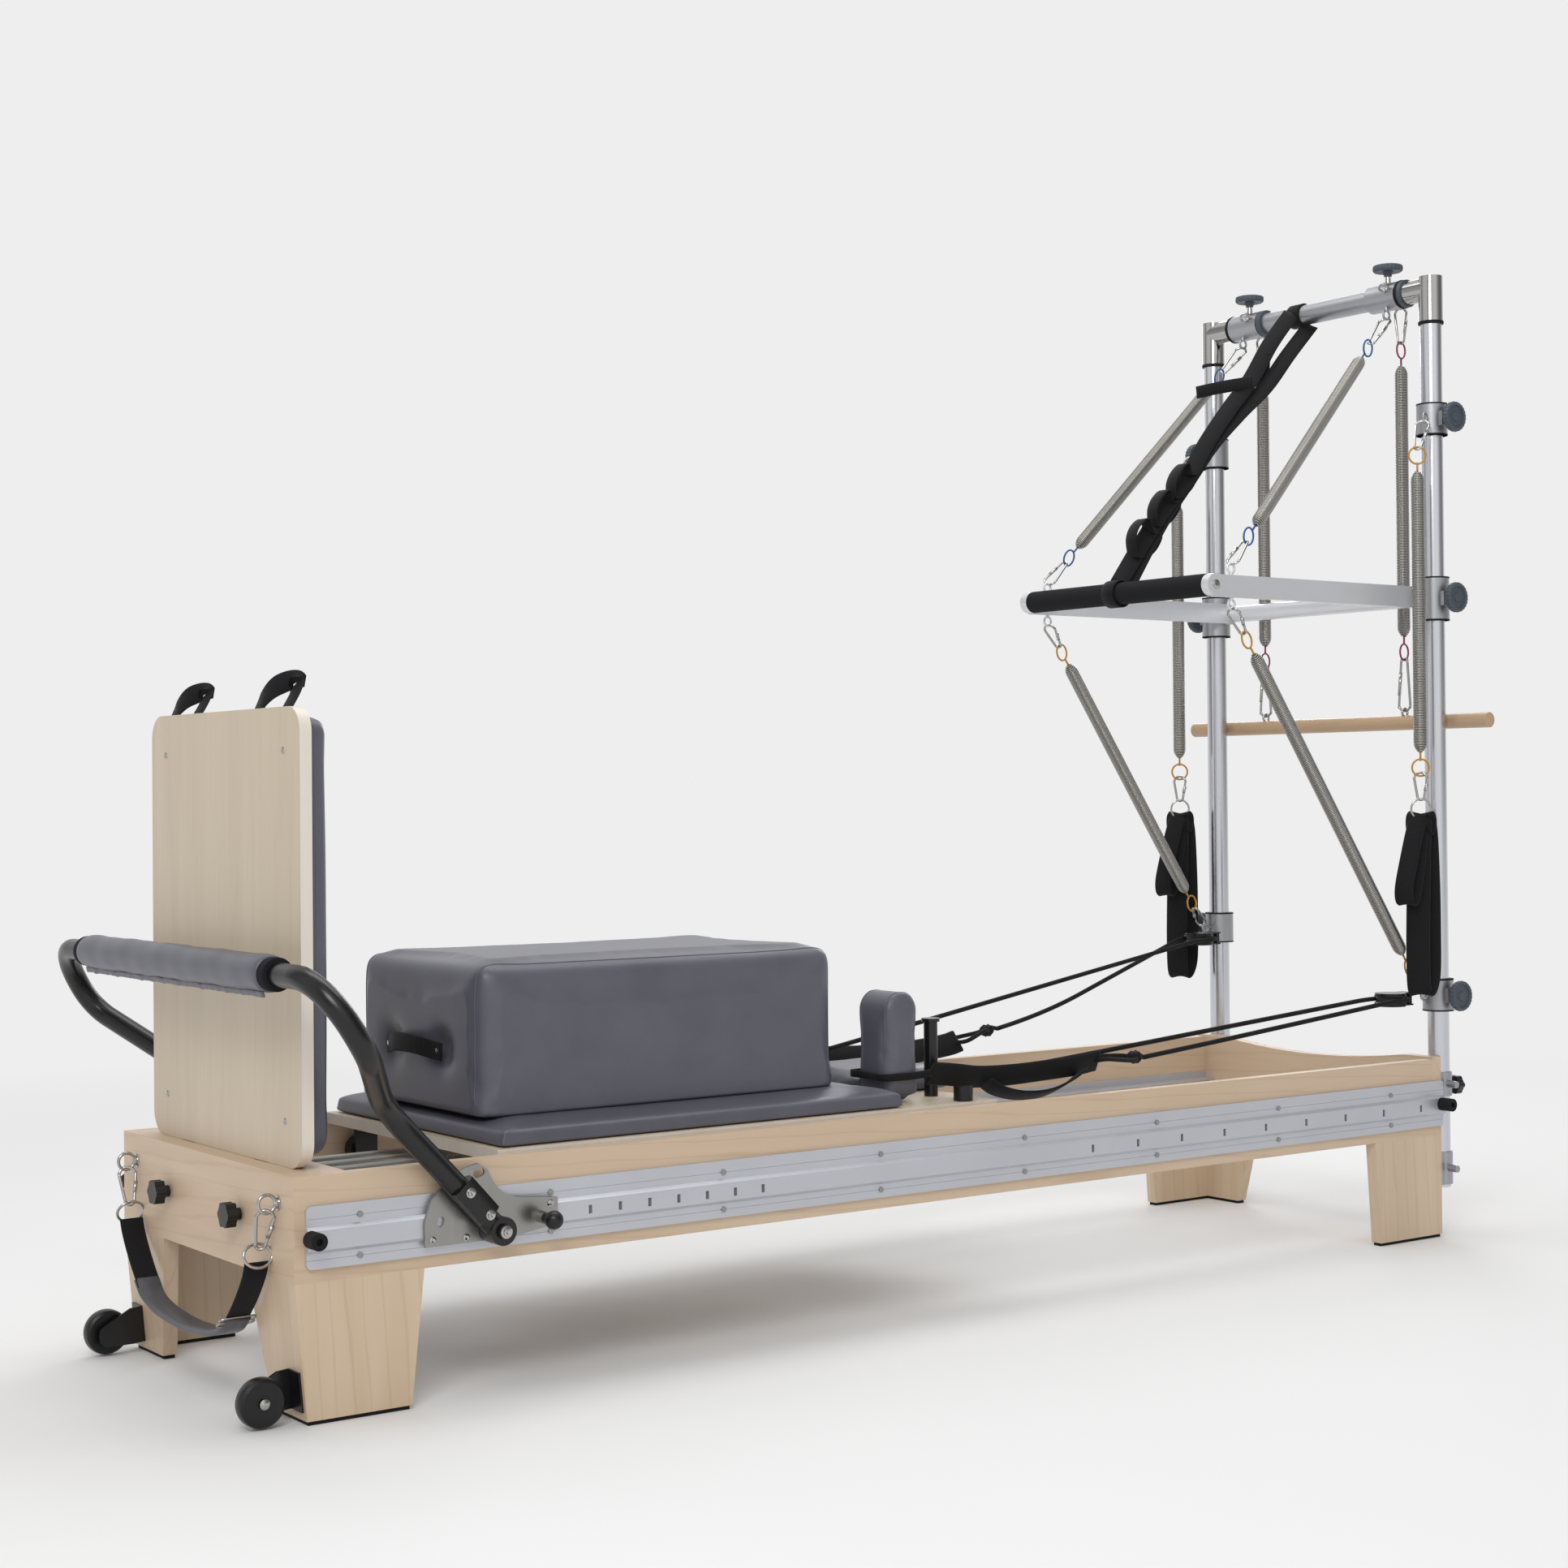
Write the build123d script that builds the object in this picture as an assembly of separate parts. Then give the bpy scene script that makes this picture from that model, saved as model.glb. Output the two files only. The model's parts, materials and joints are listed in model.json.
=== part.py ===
from build123d import *
import math
import os

# Pilates reformer with a spring tower, in millimetres.
# Design frame: X from the foot end face towards the tower, Y across, Z up from the floor.
# save() shifts every node by ORIGIN_X, which puts the origin at the middle of the footprint.

# Frame
LENGTH = 2440.0
HALF_WIDTH = 320.0
BOARD = 20.0
RAIL_TOP = 350.0
RAIL_BOTTOM = 200.0
FRONT_BOARD = 16.0
END_BOARD = 24.0
LEDGE_END = 88.0
PAD_HEIGHT = 6.0
LEG_LEAN = 18.0
FOOT_REACH = 76.0
WHEEL_Y = -294.6
TOWER_REACH = 2516.8
ORIGIN_X = (TOWER_REACH - FOOT_REACH) / 2

# Side rails
RAIL_FACE = HALF_WIDTH
RAIL_LOW = 219.0
RAIL_HIGH = 308.0
BAND = (245.0, 275.0)
PLATE_GAP = 332.6

# Carriage
DECK = ((340.0, 1315.0), (-293.0, 293.0), (337.0, 355.0))
ROLLER_R = 25.0
ROLLER_Z = 288.3
ROLLER_X = (400.0, 1250.0)
REST_X = (1127.0, 1203.0)
REST_Y = (135.0, 230.0)
ROPE_POST = (1260.0, 182.0)

# Footbar
PIVOT = (304.0, 249.5)
ARM_Y = 357.0
BAR_R = 17.0
BAR_WALL = 2.5

# Tower
POST_X = 2461.5
POST_Y = 298.0
POST_R = 21.0
TOP_Z = 1876.0
COLLAR_R = 30.0
KNOB_REACH = 62.0
COLLAR_BORE = POST_R + 0.05
MID_Z = 1262.0
PUSH_X = 1887.0
SPRING_R = 13.0
SIDES = {"near": -1.0, "far": 1.0}
LOWER_Z = {"near": 474.0, "far": 585.0}


def block(x, y, z):
    """Box between the given (low, high) pairs."""
    size = [high - low for low, high in (x, y, z)]
    middle = [(high + low) / 2 for low, high in (x, y, z)]
    return Pos(*middle) * Box(*size)


def rod(start, end, radius):
    """Solid round bar from one point to another."""
    axis = Vector(*end) - Vector(*start)
    plane = Plane(origin=start, z_dir=axis)
    return plane * Cylinder(radius, axis.length, align=(Align.CENTER, Align.CENTER, Align.MIN))


def pipe(start, end, radius, bore):
    return rod(start, end, radius) - rod(start, end, bore)


def ring(middle, normal, radius, wire):
    return Plane(origin=middle, z_dir=normal) * Torus(radius, wire)


def both(shape):
    """The shape and its mirror image across the middle of the machine."""
    return [shape, mirror(shape, about=Plane.XZ)]


def side(shape, sign):
    return shape if sign < 0 else mirror(shape, about=Plane.XZ)


def save(node, solids):
    shift = Pos(-ORIGIN_X, 0, 0)
    moved = [shift * solid for piece in solids for solid in piece.solids()]
    export_step(Compound(children=moved), f"parts/{node}.step")


# ---------------------------------------------------------------- frame

def end_board():
    """Tower end board with a shallow dip along its top."""
    top, dip, reach = 354.0, 336.0, 245.0
    with BuildSketch(Plane.YZ) as outline:
        with BuildLine():
            Polyline((-reach, top), (-HALF_WIDTH, top), (-HALF_WIDTH, RAIL_BOTTOM), (HALF_WIDTH, RAIL_BOTTOM),
                     (HALF_WIDTH, top), (reach, top))
            ThreePointArc((reach, top), (0, dip), (-reach, top))
        make_face()
    return Pos(LENGTH - END_BOARD, 0, 0) * extrude(outline.sketch, END_BOARD, dir=(1, 0, 0))


def frame_boards():
    inner = HALF_WIDTH - BOARD
    sides = both(block((FRONT_BOARD, LENGTH - END_BOARD), (-HALF_WIDTH, -inner), (RAIL_BOTTOM, RAIL_TOP)))
    front = block((0, FRONT_BOARD), (-HALF_WIDTH, HALF_WIDTH), (RAIL_BOTTOM, RAIL_TOP))
    ledge = block((FRONT_BOARD, LEDGE_END), (-inner, inner), (RAIL_TOP - BOARD, RAIL_TOP))
    for sign in (-1, 1):
        ledge -= block((32, 54), (sign * 135 - 24, sign * 135 + 24), (320, 360))
        front -= rod((-1, sign * 135, 276), (FRONT_BOARD + 1, sign * 135, 276), 4.05)
    return sides + [front, ledge, end_board()]


def leg(foot):
    """L-shaped corner leg at the near side: a side board and an end board that narrow downwards."""
    top, low, thick = RAIL_BOTTOM, PAD_HEIGHT, 24.0
    side_top, side_low = ((0, 203), (LEG_LEAN, 182)) if foot else ((2247, LENGTH), (2261, LENGTH))
    corners = [(side_top[0], top), (side_top[1], top), (side_low[1], low), (side_low[0], low)]
    with BuildSketch(Plane.XZ) as outline:
        Polygon(*corners, align=None)
    side_piece = Pos(0, -HALF_WIDTH + thick, 0) * extrude(outline.sketch, thick)
    edge_top, edge_low = (0, LEG_LEAN) if foot else (LENGTH - thick, LENGTH - thick)
    rows = []
    for edge, inside, z in ((edge_top, 155, top), (edge_low, 207, low)):
        outer = HALF_WIDTH - thick
        rows.append(Pos(edge + thick / 2, -(outer + inside) / 2, z) * Rectangle(thick, outer - inside))
    return side_piece + loft(rows)


def foot_pad(foot):
    inset = 3.0
    x = (LEG_LEAN + inset, 182 - inset) if foot else (2261 + inset, LENGTH - inset)
    end = (x[0], x[0] + 18) if foot else (x[1] - 18, x[1])
    long = block(x, (-HALF_WIDTH + inset, -HALF_WIDTH + 21), (0, PAD_HEIGHT))
    return long + block(end, (-HALF_WIDTH + inset, -207 - inset), (0, PAD_HEIGHT))


def bumper(x):
    body = rod((x, -PLATE_GAP + 0.6, 263), (x, -360, 263), 12.5)
    return body - rod((x, -354, 263), (x, -361, 263), 5)


def side_rail():
    """Outer aluminium rail with its raised band, two fine grooves and the two rows of position slots."""
    rail = block((15.6, LENGTH), (-RAIL_FACE - 6, -RAIL_FACE), (RAIL_LOW, RAIL_HIGH))
    rail = fillet(rail.edges().filter_by(Axis.Y), 8)
    face, crown = -RAIL_FACE - 6, -RAIL_FACE - 12
    with BuildSketch(Plane.YZ) as band:
        Polygon((face, BAND[0] - 4), (crown, BAND[0] + 1), (crown, BAND[1] - 1), (face, BAND[1] + 4), align=None)
    rail += Pos(15.6, 0, 0) * extrude(band.sketch, LENGTH - 15.6, dir=(1, 0, 0))
    for z in (232, 290):
        rail -= block((15, LENGTH + 1), (face - 1, face + 0.8), (z - 0.5, z + 0.5))
    places = [476.3 + 53.1 * k for k in range(7)] + [1500.8 + 108.2 * k for k in range(9)]
    for x in places:
        rail -= block((x - 3, x + 3), (-RAIL_FACE - 13, -RAIL_FACE - 2), (252, 265))
    return rail


def inner_track():
    ledge = block((96, LENGTH - END_BOARD), (-300, -272), (259, 263))
    return ledge + block((96, LENGTH - END_BOARD), (-300, -297), (263, 277))


def rail_screws():
    heads = []
    for x in [98 + 312.5 * k for k in range(8)]:
        for z in (290, 232):
            heads += both(rod((x, -RAIL_FACE - 6, z), (x, -RAIL_FACE - 8, z), 4.5))
    return heads


def spring_bar():
    bar = block((96, 104), (-299.7, 299.7), (282, 312))
    for y in (-120, -60, 0, 60, 120):
        bar += rod((104, y, 297), (122, y, 297), 4)
    return [bar]


def wheel_bracket():
    """Flanged plate on the inner side of the near wheel, screwed to the leaning leg, with the wheel's axle."""
    lean = math.degrees(math.atan(LEG_LEAN / (RAIL_BOTTOM - PAD_HEIGHT)))
    with BuildSketch(Plane.XZ) as outline:
        Polygon((12, 18), (12, 75), (-8, 75), (-58, 53), (-62, 44), (-62, 30), (-52, 22), (-8, 18), align=None)
    plate = Pos(0, WHEEL_Y + 20, 0) * extrude(outline.sketch, 3)
    flange = block((9, 12), (WHEEL_Y - 18, WHEEL_Y + 20), (18, 75))
    axle = rod((-40.7, WHEEL_Y - 16, 37.5), (-40.7, WHEEL_Y + 17, 37.5), 5)
    bracket = plate + flange
    turned = Pos(11.3, 0, 75) * Rot(0, -lean, 0) * Pos(-12, 0, -75) * bracket
    return turned + axle


def foot_fittings():
    eye = ring((-17, -266, 308), (0, 1, 0), 13, 2.6) + rod((0, -266, 308), (-5, -266, 308), 8)
    return both(wheel_bracket()) + both(eye)


# ---------------------------------------------------------------- tower

def tower_frame():
    """Posts, elbows and crossbar: separate tubes that meet end to end."""
    mouth_z, mouth_y = 1808.0, 240.0
    post = pipe((POST_X, -POST_Y, 95), (POST_X, -POST_Y, mouth_z), POST_R, POST_R - 2)
    elbow = rod((POST_X, -POST_Y, mouth_z), (POST_X, -POST_Y, 1899.5), 23.5)
    elbow += rod((POST_X, -POST_Y, TOP_Z), (POST_X, -mouth_y, TOP_Z), 23.5)
    bar = pipe((POST_X, -mouth_y, TOP_Z), (POST_X, mouth_y, TOP_Z), POST_R, POST_R - 2)
    return both(post) + both(elbow) + [bar]


def saddle(low, high):
    """Clamp that holds the post to the end board or the leg, with domed nuts on its outer side."""
    shell = rod((POST_X, -POST_Y, low), (POST_X, -POST_Y, high), 25)
    shell += block((LENGTH, POST_X), (-POST_Y - 22, -POST_Y + 40), (low, high))
    shell -= rod((POST_X, -POST_Y, low), (POST_X, -POST_Y, high), POST_R)
    shell -= block((LENGTH - 20, LENGTH), (-POST_Y - 30, -POST_Y + 30), (low, high))
    middle = (low + high) / 2
    return shell + rod((POST_X, -POST_Y - 24, middle), (POST_X, -POST_Y - 44, middle), 7)


def crossbar_collar():
    """Collar round the crossbar with the eyes that the springs hang from."""
    shell = pipe((POST_X, -230, TOP_Z), (POST_X, -150, TOP_Z), 28, POST_R)
    shell += ring((POST_X - 14, -197, TOP_Z - 38), (0, 1, 0), 9, 2.4)
    shell += rod((POST_X - 14, -197, TOP_Z - 20), (POST_X - 14, -197, TOP_Z - 30), 4)
    shell += ring((POST_X + 37.5, -190, TOP_Z - 10), (0, 1, 0), 9, 2.4)
    return shell + rod((POST_X + 20, -190, TOP_Z - 10), (POST_X + 30, -190, TOP_Z - 10), 4)


def post_collar(z, height, eye):
    """Sliding collar on the near post, with a housing for its pin and an eye on a short stem."""
    low, high = z - height / 2, z + height / 2
    shell = rod((POST_X, -POST_Y, low), (POST_X, -POST_Y, high), COLLAR_R)
    shell += block((POST_X - 13, POST_X + 13), (-POST_Y - 36, -POST_Y - 20), (z - 14, z + 14))
    if eye:
        reach = Vector(*eye).normalized()
        stem = Vector(POST_X, -POST_Y, z) + reach * 25
        tip = Vector(POST_X, -POST_Y, z) + reach * 34
        middle = Vector(POST_X, -POST_Y, z) + reach * 42
        shell += rod(tuple(stem), tuple(tip), 4)
        shell += ring(tuple(middle), tuple(reach.cross(Vector(0, 0, 1))), 9, 2.4)
    shell -= rod((POST_X, -POST_Y, low), (POST_X, -POST_Y, high), COLLAR_BORE)
    return shell - rod((POST_X, -POST_Y - 24, z), (POST_X, -POST_Y - 40, z), 6.05)


def mid_collars():
    near = post_collar(MID_Z - 4, 87, None)
    near += rod((POST_X, -POST_Y + 24, MID_Z), (POST_X, -257, MID_Z), 8)
    near -= rod((POST_X, -POST_Y, MID_Z - 30), (POST_X, -POST_Y, MID_Z + 30), COLLAR_BORE)
    return both(near)


def pull_knob(z):
    """Round pull knob on the near post: disc, neck and the pin that runs in the housing."""
    face = -POST_Y - KNOB_REACH
    knob = rod((POST_X, face, z), (POST_X, face + 14, z), 30)
    knob += rod((POST_X, face + 14, z), (POST_X, -POST_Y - 40, z), 11)
    return knob + rod((POST_X, -POST_Y - 26, z), (POST_X, -POST_Y - 40, z), 6)


def crossbar_knob():
    knob = rod((POST_X, -190, 1927), (POST_X, -190, 1941), 30)
    knob += rod((POST_X, -190, 1913), (POST_X, -190, 1927), 11)
    return knob + rod((POST_X, -190, 1904.3), (POST_X, -190, 1913), 5)


def star_knob(base, direction, stud):
    """Lobed hand knob on a threaded stud."""
    base, way = Vector(*base), Vector(*direction)
    knob = rod(tuple(base), tuple(base + way * stud), 4)
    knob += rod(tuple(base + way * (stud - 10)), tuple(base + way * stud), 9)
    head = rod(tuple(base + way * stud), tuple(base + way * (stud + 16)), 17)
    for turn in range(6):
        angle = math.radians(60 * turn)
        lobe = Vector(0, math.cos(angle), math.sin(angle)) * 13.5
        start = base + way * stud + lobe
        head += rod(tuple(start), tuple(start + way * 16), 6)
    return knob + head


def push_bar():
    """Push-through bar: front grip tube, two flat arms and the rear tube in one welded piece."""
    bar = rod((PUSH_X, -255, MID_Z + 4), (PUSH_X, 255, MID_Z + 4), 21)
    bar += pipe((POST_X, -256, MID_Z), (POST_X, 256, MID_Z), 17.5, 15)
    for sign in (-1, 1):
        inner, outer = sorted((sign * 255, sign * 264))
        arm = block((PUSH_X, POST_X), (inner, outer), (MID_Z - 19, MID_Z + 23))
        arm += rod((PUSH_X, inner, MID_Z + 4), (PUSH_X, outer, MID_Z + 4), 21)
        arm += rod((POST_X, inner, MID_Z), (POST_X, outer, MID_Z), 21)
        bar += arm
        for z, stem in ((MID_Z + 36, MID_Z + 22), (MID_Z - 32, MID_Z - 18)):
            bar += ring((1934, sign * 257, z), (0, 1, 0), 9, 2.4)
            bar += rod((1934, sign * 257, stem), (1934, sign * 257, (z + stem) / 2), 4)
        bar -= rod((POST_X, sign * 250, MID_Z), (POST_X, sign * 265, MID_Z), 8.05)
    return bar


def spring(start, end, hooks):
    """Closed coil spring of outer shape only, with a thin hook line at each end."""
    start, end = Vector(*start), Vector(*end)
    way = (end - start).normalized()
    top, low = start + way * hooks[0], end - way * hooks[1]
    body = rod(tuple(top), tuple(low), SPRING_R)
    return body + rod(tuple(start), tuple(top), 3) + rod(tuple(low), tuple(end), 3)


def push_springs():
    upper = spring((POST_X - 24, -200, TOP_Z - 52), (1934, -257, MID_Z + 50), (110, 110))
    pieces = both(upper)
    for name, sign in SIDES.items():
        foot = (POST_X - 54, sign * POST_Y, LOWER_Z[name] + 10)
        pieces.append(spring((1934, sign * 257, MID_Z - 46), foot, (110, 80)))
    return pieces


def roll_down():
    """Wooden roll-down bar with an eye for each spring."""
    bar = rod((POST_X + 37.5, -401, 1016), (POST_X + 37.5, 401, 1016), 15)
    for y in (-190, 190):
        bar += ring((POST_X + 37.5, y, 1037), (0, 1, 0), 8, 2.4)
    return bar


def arm_spring():
    """Spring for the arms on the near upper collar, with its hook line and hand strap loop."""
    x, y = POST_X - 83.5, -330.0
    line = spring((x + 22, y + 10, 1600), (x, y, 880), (105, 95))
    outer = SlotCenterToCenter(300, 80, rotation=90)
    inner = SlotCenterToCenter(300, 70, rotation=90)
    loop = extrude(Plane.XZ * (outer - inner), 20, both=True)
    return [line, Pos(x, y, 680) * loop]


def ladder_strap():
    """Looped strap between the crossbar and the front tube of the push-through bar."""
    top, low = Vector(POST_X, 48, TOP_Z), Vector(PUSH_X, 4, MID_Z + 4)
    way = (low - top).normalized()
    start, end = top + way * 30, low - way * 30
    plane = Plane(origin=start, x_dir=(0, 1, 0), z_dir=way)
    return plane * Box(50, 12, (end - start).length, align=(Align.CENTER, Align.CENTER, Align.MIN))


def pulley(sign, z):
    """Cheeks of the pulley block and its hook line to the collar."""
    middle = (2362.0, sign * 262.0)
    cheeks = []
    for low in (z - 13, z + 10):
        shape = block((middle[0] - 20, middle[0] + 52), (middle[1] - 14, middle[1] + 14), (low, low + 3))
        cheeks.append(shape + rod((*middle, low), (*middle, low + 3), 30))
    block_piece = cheeks[0] + cheeks[1]
    block_piece += block((middle[0] + 44, middle[0] + 52), (middle[1] - 10, middle[1] + 10), (z - 13, z + 13))
    return block_piece + rod((*middle, z - 13), (*middle, z + 13), 5)


def sheave(sign, z):
    middle = (2362.0, sign * 262.0)
    wheel = rod((*middle, z - 9), (*middle, z + 9), 31)
    wheel -= Pos(*middle, z) * Torus(33.5, 6.5)
    return wheel - rod((*middle, z - 9), (*middle, z + 9), 5.05)


# ---------------------------------------------------------------- ropes

ROPE_R = 4.5
SHEAVE_ROPE_R = 32.5


def rope(name):
    """Rope from the hand strap round the sheave and back to the rope post."""
    sign = SIDES[name]
    lift = LOWER_Z[name] - 7 if name == "near" else LOWER_Z[name] - 20
    hand = {"near": (1724, 212, 394), "far": (1762, 210, 412)}[name]
    tail = {"near": (1278, 186, 376), "far": (1278, 186, 398)}[name]
    outer, inner = 262 + SHEAVE_ROPE_R, 262 - SHEAVE_ROPE_R
    back = 2362 + SHEAVE_ROPE_R
    route = [
        (hand[0], sign * (hand[1] + 16), hand[2]),
        (1905, sign * 246, hand[2] + 20),
        (2340, sign * outer, lift),
        (back, sign * outer, lift),
        (back, sign * inner, lift),
        (2330, sign * inner, lift),
        (tail[0], sign * tail[1], tail[2]),
    ]
    radii = [500, 120, SHEAVE_ROPE_R - 0.1, SHEAVE_ROPE_R - 0.1, 60]
    print(name, "rope radii", radii)
    path = FilletPolyline(*route, radius=radii)
    start = Plane(origin=path @ 0, z_dir=path % 0)
    tube = sweep(start * Circle(ROPE_R), path=path)
    section = math.pi * ROPE_R ** 2 * path.length
    print(name, "rope length", round(path.length), "volume ratio", round(tube.volume / section, 4))
    strap_x = (1276, 1612) if name == "near" else (1591, 1667)
    low = hand[2] - 12
    strap = block(strap_x, sorted((sign * 204, sign * 254)), (low, low + 6))
    knot = rod((strap_x[1] + 2, sign * 228, hand[2] - 8), (hand[0] - 8, sign * 228, hand[2]), 8)
    return [tube, strap, knot]


# ---------------------------------------------------------------- carriage

def carriage_fittings():
    """Rope posts on the deck, and below it the roller brackets and the spring hook bar."""
    post = rod((ROPE_POST[0], -ROPE_POST[1], 355), (ROPE_POST[0], -ROPE_POST[1], 490), 12)
    post += rod((ROPE_POST[0], -ROPE_POST[1], 484), (ROPE_POST[0], -ROPE_POST[1], 490), 16)
    pieces = both(post)
    for x in ROLLER_X:
        bracket = block((x - 20, x + 20), (-270, -262), (270, DECK[2][0]))
        bracket += rod((x, -262, ROLLER_Z), (x, -296, ROLLER_Z), 4)
        pieces += both(bracket)
    pieces.append(block((640, 652), (-160, 160), (285, DECK[2][0])))
    return pieces


def rollers(x):
    wheel = rod((x, -272, ROLLER_Z), (x, -294, ROLLER_Z), ROLLER_R)
    return both(wheel - rod((x, -272, ROLLER_Z), (x, -294, ROLLER_Z), 4.05))


def carriage_pad():
    pad = block((345, 1126.5), (-290, 290), (355.3, 390))
    return fillet(pad.edges().group_by(Axis.Z)[-1], 12)


def soft_block(x, y, z, corner, top):
    """Upholstered block: rounded upright corners and a rounded top edge."""
    shape = block(x, y, z)
    shape = fillet(shape.edges().filter_by(Axis.Z), corner)
    return fillet(shape.faces().sort_by(Axis.Z)[-1].edges(), top)


def shoulder_rest():
    """Upholstered shoulder rest with an arched top, on its block."""
    pad = block(REST_X, (-REST_Y[1], -REST_Y[0]), (366, 547))
    pad = fillet(pad.edges().filter_by(Axis.Y).group_by(Axis.Z)[-1], 34)
    for face in (0, -1):
        pad = fillet(pad.faces().sort_by(Axis.Y)[face].edges(), 10)
    return pad + block((1142, 1188), (-212, -153), (355.3, 370))


def carriage_springs():
    return [rod((125, y, 297), (636, y, 297), 12) for y in (-120, -60, 0, 60, 120)]


# ---------------------------------------------------------------- footbar

def footbar_plate():
    """Stainless side plate with its slots, pivot pin and the barrel of the locking pin."""
    px, pz = PIVOT
    with BuildSketch(Plane.XZ) as outline:
        with BuildLine():
            Polyline((px + 112, pz - 5), (px + 30, pz - 17), (195, pz - 17), (195, 267))
            RadiusArc((195, 267), (283, 346), 100)
            Polyline((283, 346), (299, 335))
            RadiusArc((299, 335), (352, 290), -62)
            Polyline((352, 290), (px + 112, 284), (px + 112, pz - 5))
        make_face()
        for angle, size in ((104, 12), (168, 10)):
            reach = math.radians(angle)
            with Locations((px + 85 * math.cos(reach), pz + 85 * math.sin(reach))):
                SlotOverall(size * 1.6, size, rotation=angle - 90, mode=Mode.SUBTRACT)
    plate = Pos(0, -PLATE_GAP, 0) * extrude(outline.sketch, 5)
    plate += rod((388, -PLATE_GAP - 4, 257), (388, -352, 257), 9)
    plate += rod((px, -PLATE_GAP - 4, pz), (px, -381, pz), 6)
    plate += rod((px, -376, pz), (px, -381, pz), 11)
    return plate - rod((388, -PLATE_GAP, 257), (388, -353, 257), 5.05)


def lock_pin():
    pin = rod((388, -PLATE_GAP - 1, 257), (388, -366, 257), 5)
    return pin + Pos(388, -374, 257) * Sphere(14)


def footbar_tube():
    """Bent tube: crossbar, flared shoulders and two arms down to the pivots."""
    px, pz = PIVOT
    half = [(px, ARM_Y, pz), (120, ARM_Y, 442), (20, 512, 536), (-42, 500, 638)]
    route = [(x, -y, z) for x, y, z in half] + half[::-1]
    radii = [120, 72, 84, 84, 72, 120]
    path = FilletPolyline(*route, radius=radii)
    start = Plane(origin=path @ 0, z_dir=path % 0)
    tube = sweep(start * (Circle(BAR_R) - Circle(BAR_R - BAR_WALL)), path=path)
    for sign in (-1, 1):
        inner, outer = sorted((sign * 339, sign * 375))
        tube += rod((px, inner, pz), (px, outer, pz), 21)
        tube -= rod((px, inner, pz), (px, outer, pz), 6.05)
    return tube


def footbar_sleeve():
    return pipe((-42, -365, 638), (-42, 365, 638), 27, BAR_R + 0.3)


# ---------------------------------------------------------------- foot end

def jump_board():
    """Laminated board with two tongues that drop into the foot end."""
    board = block((33.4, 52), (-276, 276), (350.4, 1013))
    board = fillet(board.edges().filter_by(Axis.X), 38)
    for y in (-135, 135):
        board += block((36, 50), (y - 20, y + 20), (225, 352))
    return board


def jump_pad():
    pad = block((52.3, 92), (-271, 271), (357, 1008))
    pad = fillet(pad.edges().filter_by(Axis.X), 34)
    return fillet(pad.faces().sort_by(Axis.X)[-1].edges(), 14)


def transport_wheel():
    near, far = (-40.7, WHEEL_Y - 12, 37.5), (-40.7, WHEEL_Y + 12, 37.5)
    return rod(near, far, 35.3) - rod(near, far, 5.05)


def foot_sling():
    """Padded foot sling: webbing band hanging in a U with its rings and hook lines."""
    half = [(238, 222), (170, 128), (75, 96)]
    route = [(-20, -y, z) for y, z in half] + [(-20, y, z) for y, z in half[::-1]]
    path = FilletPolyline(*route, radius=[60, 120, 120, 60])
    start = Plane(origin=path @ 0, x_dir=(1, 0, 0), z_dir=path % 0)
    band = sweep(start * Rectangle(36, 7), path=path)
    pieces = [band]
    pieces += both(rod((-20, -241, 222), (-17, -264, 288), 3))
    return pieces


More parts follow.
